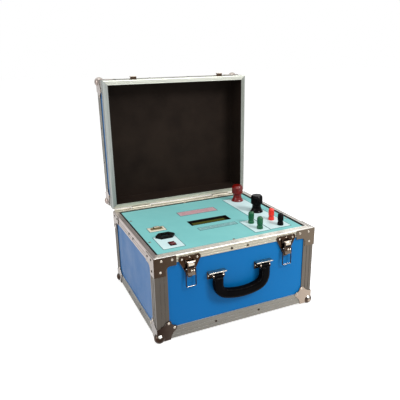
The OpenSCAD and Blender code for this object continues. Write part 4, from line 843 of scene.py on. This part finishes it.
# Domed bosses on each latch lever, across and up, and one on the plate above it
latchBosses = {"spots": [(0.4, 164), (6.1, 163.4)], "plateUp": 191.5, "plateProud": 1.5}
for side, way in pairSides:
    places = [spot(way * case["latchX"] + x, latchFold["front"], z, 0, -1, 0) for x, z in latchBosses["spots"]]
    scatter(side + "LatchBosses", rivetTree, places, side + "_lever", "brightSteel", 2.5, 1.6)
platePlaces = [spot(way * case["latchX"], -halfD - latchBosses["plateProud"], latchBosses["plateUp"], 0, -1, 0)
               for way in (-1, 1)]
scatter("latchPlateBosses", rivetTree, platePlaces, "case", "latchSteel", 3.0, 1.8)

# Screws in the rim and the bottom rails of each side, as shares of its length
edgeScrews = {"rimShares": (0.45, 0.55), "rimDrop": 11, "railShares": (0.35, 0.63), "railUp": 15, "proud": -0.2}


def screwsAlong(side, shares, z):
    return [onSide(side, sideLength(side) * share, z, edgeScrews["proud"]) for share in shares]


screwPlaces, lidScrewPlaces = [], []
for side in range(4):
    screwPlaces += screwsAlong(side, edgeScrews["rimShares"], case["rim"] - edgeScrews["rimDrop"])
    screwPlaces += screwsAlong(side, edgeScrews["railShares"], case["low"] + edgeScrews["railUp"])
    lidScrewPlaces += screwsAlong(side, edgeScrews["railShares"], case["lidTop"] - edgeScrews["railUp"])
scatter("edgeScrews", screwTree, screwPlaces, "case", "screwSteel", 2.8, 1.0, 0.8)
scatter("lidScrews", screwTree, [(openPoint(p), openTurn(d)) for p, d in lidScrewPlaces], "lid", "screwSteel",
        2.8, 1.0, 0.8)

# The panel's own screws
panelScrews = [(-187, 79), (-186.5, -79), (-1, 158.5), (-2, -149), (187, -85), (187, 79)]
scatter("panelScrews", screwTree, [spot(x, y, case["panel"] + 0.1, 0, 0, 1) for x, y in panelScrews],
        "case", "paleScrew", 3.0, 0.9, 0.8)
print("fasteners placed")

# On and off marks on the rocker: a bar and a ring, each on its own slope
rocker = {"middle": (-141.96, -109.2), "pivot": 202.3, "tilt": -11, "slope": 9.09, "dip": 2.4, "along": 5.2}


def rockerMark(name, bm, sign):
    tilt = Matrix.Rotation(math.radians(rocker["tilt"]), 4, "X")
    slope = Matrix.Rotation(math.radians(sign * rocker["slope"]), 4, "X")
    lift = Matrix.Translation((0, 0, rocker["dip"] * mm))
    place = Matrix.Translation((rocker["middle"][0] * mm, rocker["middle"][1] * mm, rocker["pivot"] * mm))
    bmesh.ops.transform(bm, matrix=place @ tilt @ lift @ slope, verts=bm.verts)
    addPiece(name, finishMesh(name, bm), "rocker", "whiteInk")


bm = bmesh.new()
plateMesh(bm, roundedOutline(-0.4, 0.4, rocker["along"] - 1.6, rocker["along"] + 1.6, 0.3, 3), -0.1, 0.12, 0.04)
rockerMark("onMark", bm, 1)
bm = bmesh.new()
frameMesh(bm, -1.5, 1.5, -rocker["along"] - 1.5, -rocker["along"] + 1.5, 1.45, 0.5, -0.1, 0.12)
rockerMark("offMark", bm, -1)
print("rocker marked")


def seenDirectly(tree):  # one for rays from the camera, off gloss and through glass
    path = tree.nodes.new("ShaderNodeLightPath")
    seen = plus(tree, path.outputs["Is Camera Ray"], path.outputs["Is Glossy Ray"], True)
    return plus(tree, seen, path.outputs["Is Transmission Ray"], True)


stage = {"floorZ": -8.8 * mm, "half": 14.0, "floor": (0.8, 0.8, 0.8, 1), "rough": 0.9, "lift": 0.72,
         "fill": 0.36, "seenWhite": 1.0}
bm = bmesh.new()
bmesh.ops.create_grid(bm, x_segments=1, y_segments=1, size=stage["half"])
bmesh.ops.translate(bm, verts=bm.verts, vec=(0, 0, stage["floorZ"]))
floor = bpy.data.objects.new("floor", finishMesh("floor", bm))
bpy.context.scene.collection.objects.link(floor)
paper = bpy.data.materials.new("floorPaper")
paper.use_nodes = True
tree = paper.node_tree
feed(tree, tree.nodes["Principled BSDF"], Base_Color=stage["floor"], Roughness=stage["rough"],
     Specular_IOR_Level=0.0, Emission_Color=(1, 1, 1, 1),
     Emission_Strength=times(tree, seenDirectly(tree), stage["lift"]))
floor.data.materials.append(paper)

world = bpy.data.worlds.new("studio")
bpy.context.scene.world = world
world.use_nodes = True
tree = world.node_tree
tree.nodes.clear()
mix = newNode(tree, "ShaderNodeMixShader", Fac=seenDirectly(tree))
for slot, strength in ((1, stage["fill"]), (2, stage["seenWhite"])):
    shade = newNode(tree, "ShaderNodeBackground", Color=(1, 1, 1, 1), Strength=strength)
    setInput(tree, mix.inputs[slot], shade.outputs[0])
newNode(tree, "ShaderNodeOutputWorld", Surface=mix.outputs[0])

# Soft boxes: where each stands, what it looks at, its width and height, and its power in watts
softBoxes = {
    "keyLight": {"at": (0.9, -1.6, 1.7), "to": (0, 0, 0.15), "size": (0.7, 0.7), "power": 34},
    "topLight": {"at": (-0.2, -0.6, 2.1), "to": (0, 0, 0.1), "size": (1.4, 1.2), "power": 16},
    "leftLight": {"at": (-2.0, -0.3, 0.9), "to": (0, 0, 0.1), "size": (1.2, 1.2), "power": 12},
}
for name, values in softBoxes.items():
    lamp = bpy.data.lights.new(name, "AREA")
    lamp.shape = "RECTANGLE"
    lamp.size, lamp.size_y = values["size"]
    lamp.energy = values["power"]
    holder = bpy.data.objects.new(name, lamp)
    bpy.context.scene.collection.objects.link(holder)
    holder.location = values["at"]
    holder.rotation_euler = (Vector(values["to"]) - Vector(values["at"])).to_track_quat("-Z", "Y").to_euler()

# The camera stands where the photograph's edges meet the case's
cameraValues = {"at": (-0.4726, -1.0182, 0.6163), "yaw": -23.90, "pitch": 17.77, "roll": -1.07,
                "lens": 40.68, "sensor": 36.0, "near": 0.05, "far": 60}


def cameraMatrix(values):
    yaw, pitch, roll = (math.radians(values[k]) for k in ("yaw", "pitch", "roll"))
    ahead = Vector((-math.sin(yaw) * math.cos(pitch), math.cos(yaw) * math.cos(pitch), -math.sin(pitch)))
    right = Vector((math.cos(yaw), math.sin(yaw), 0))
    up = right.cross(ahead)
    across = right * math.cos(roll) + up * math.sin(roll)
    upward = up * math.cos(roll) - right * math.sin(roll)
    turn = Matrix((across, upward, -ahead)).transposed().to_4x4()
    return Matrix.Translation(values["at"]) @ turn


lens = bpy.data.cameras.new("photoCamera")
lens.lens = cameraValues["lens"]
lens.sensor_width = cameraValues["sensor"]
lens.clip_start, lens.clip_end = cameraValues["near"], cameraValues["far"]
camera = bpy.data.objects.new("photoCamera", lens)
bpy.context.scene.collection.objects.link(camera)
camera.matrix_world = cameraMatrix(cameraValues)
bpy.context.scene.camera = camera
bpy.context.scene.view_settings.view_transform = "Standard"
print("stage set")
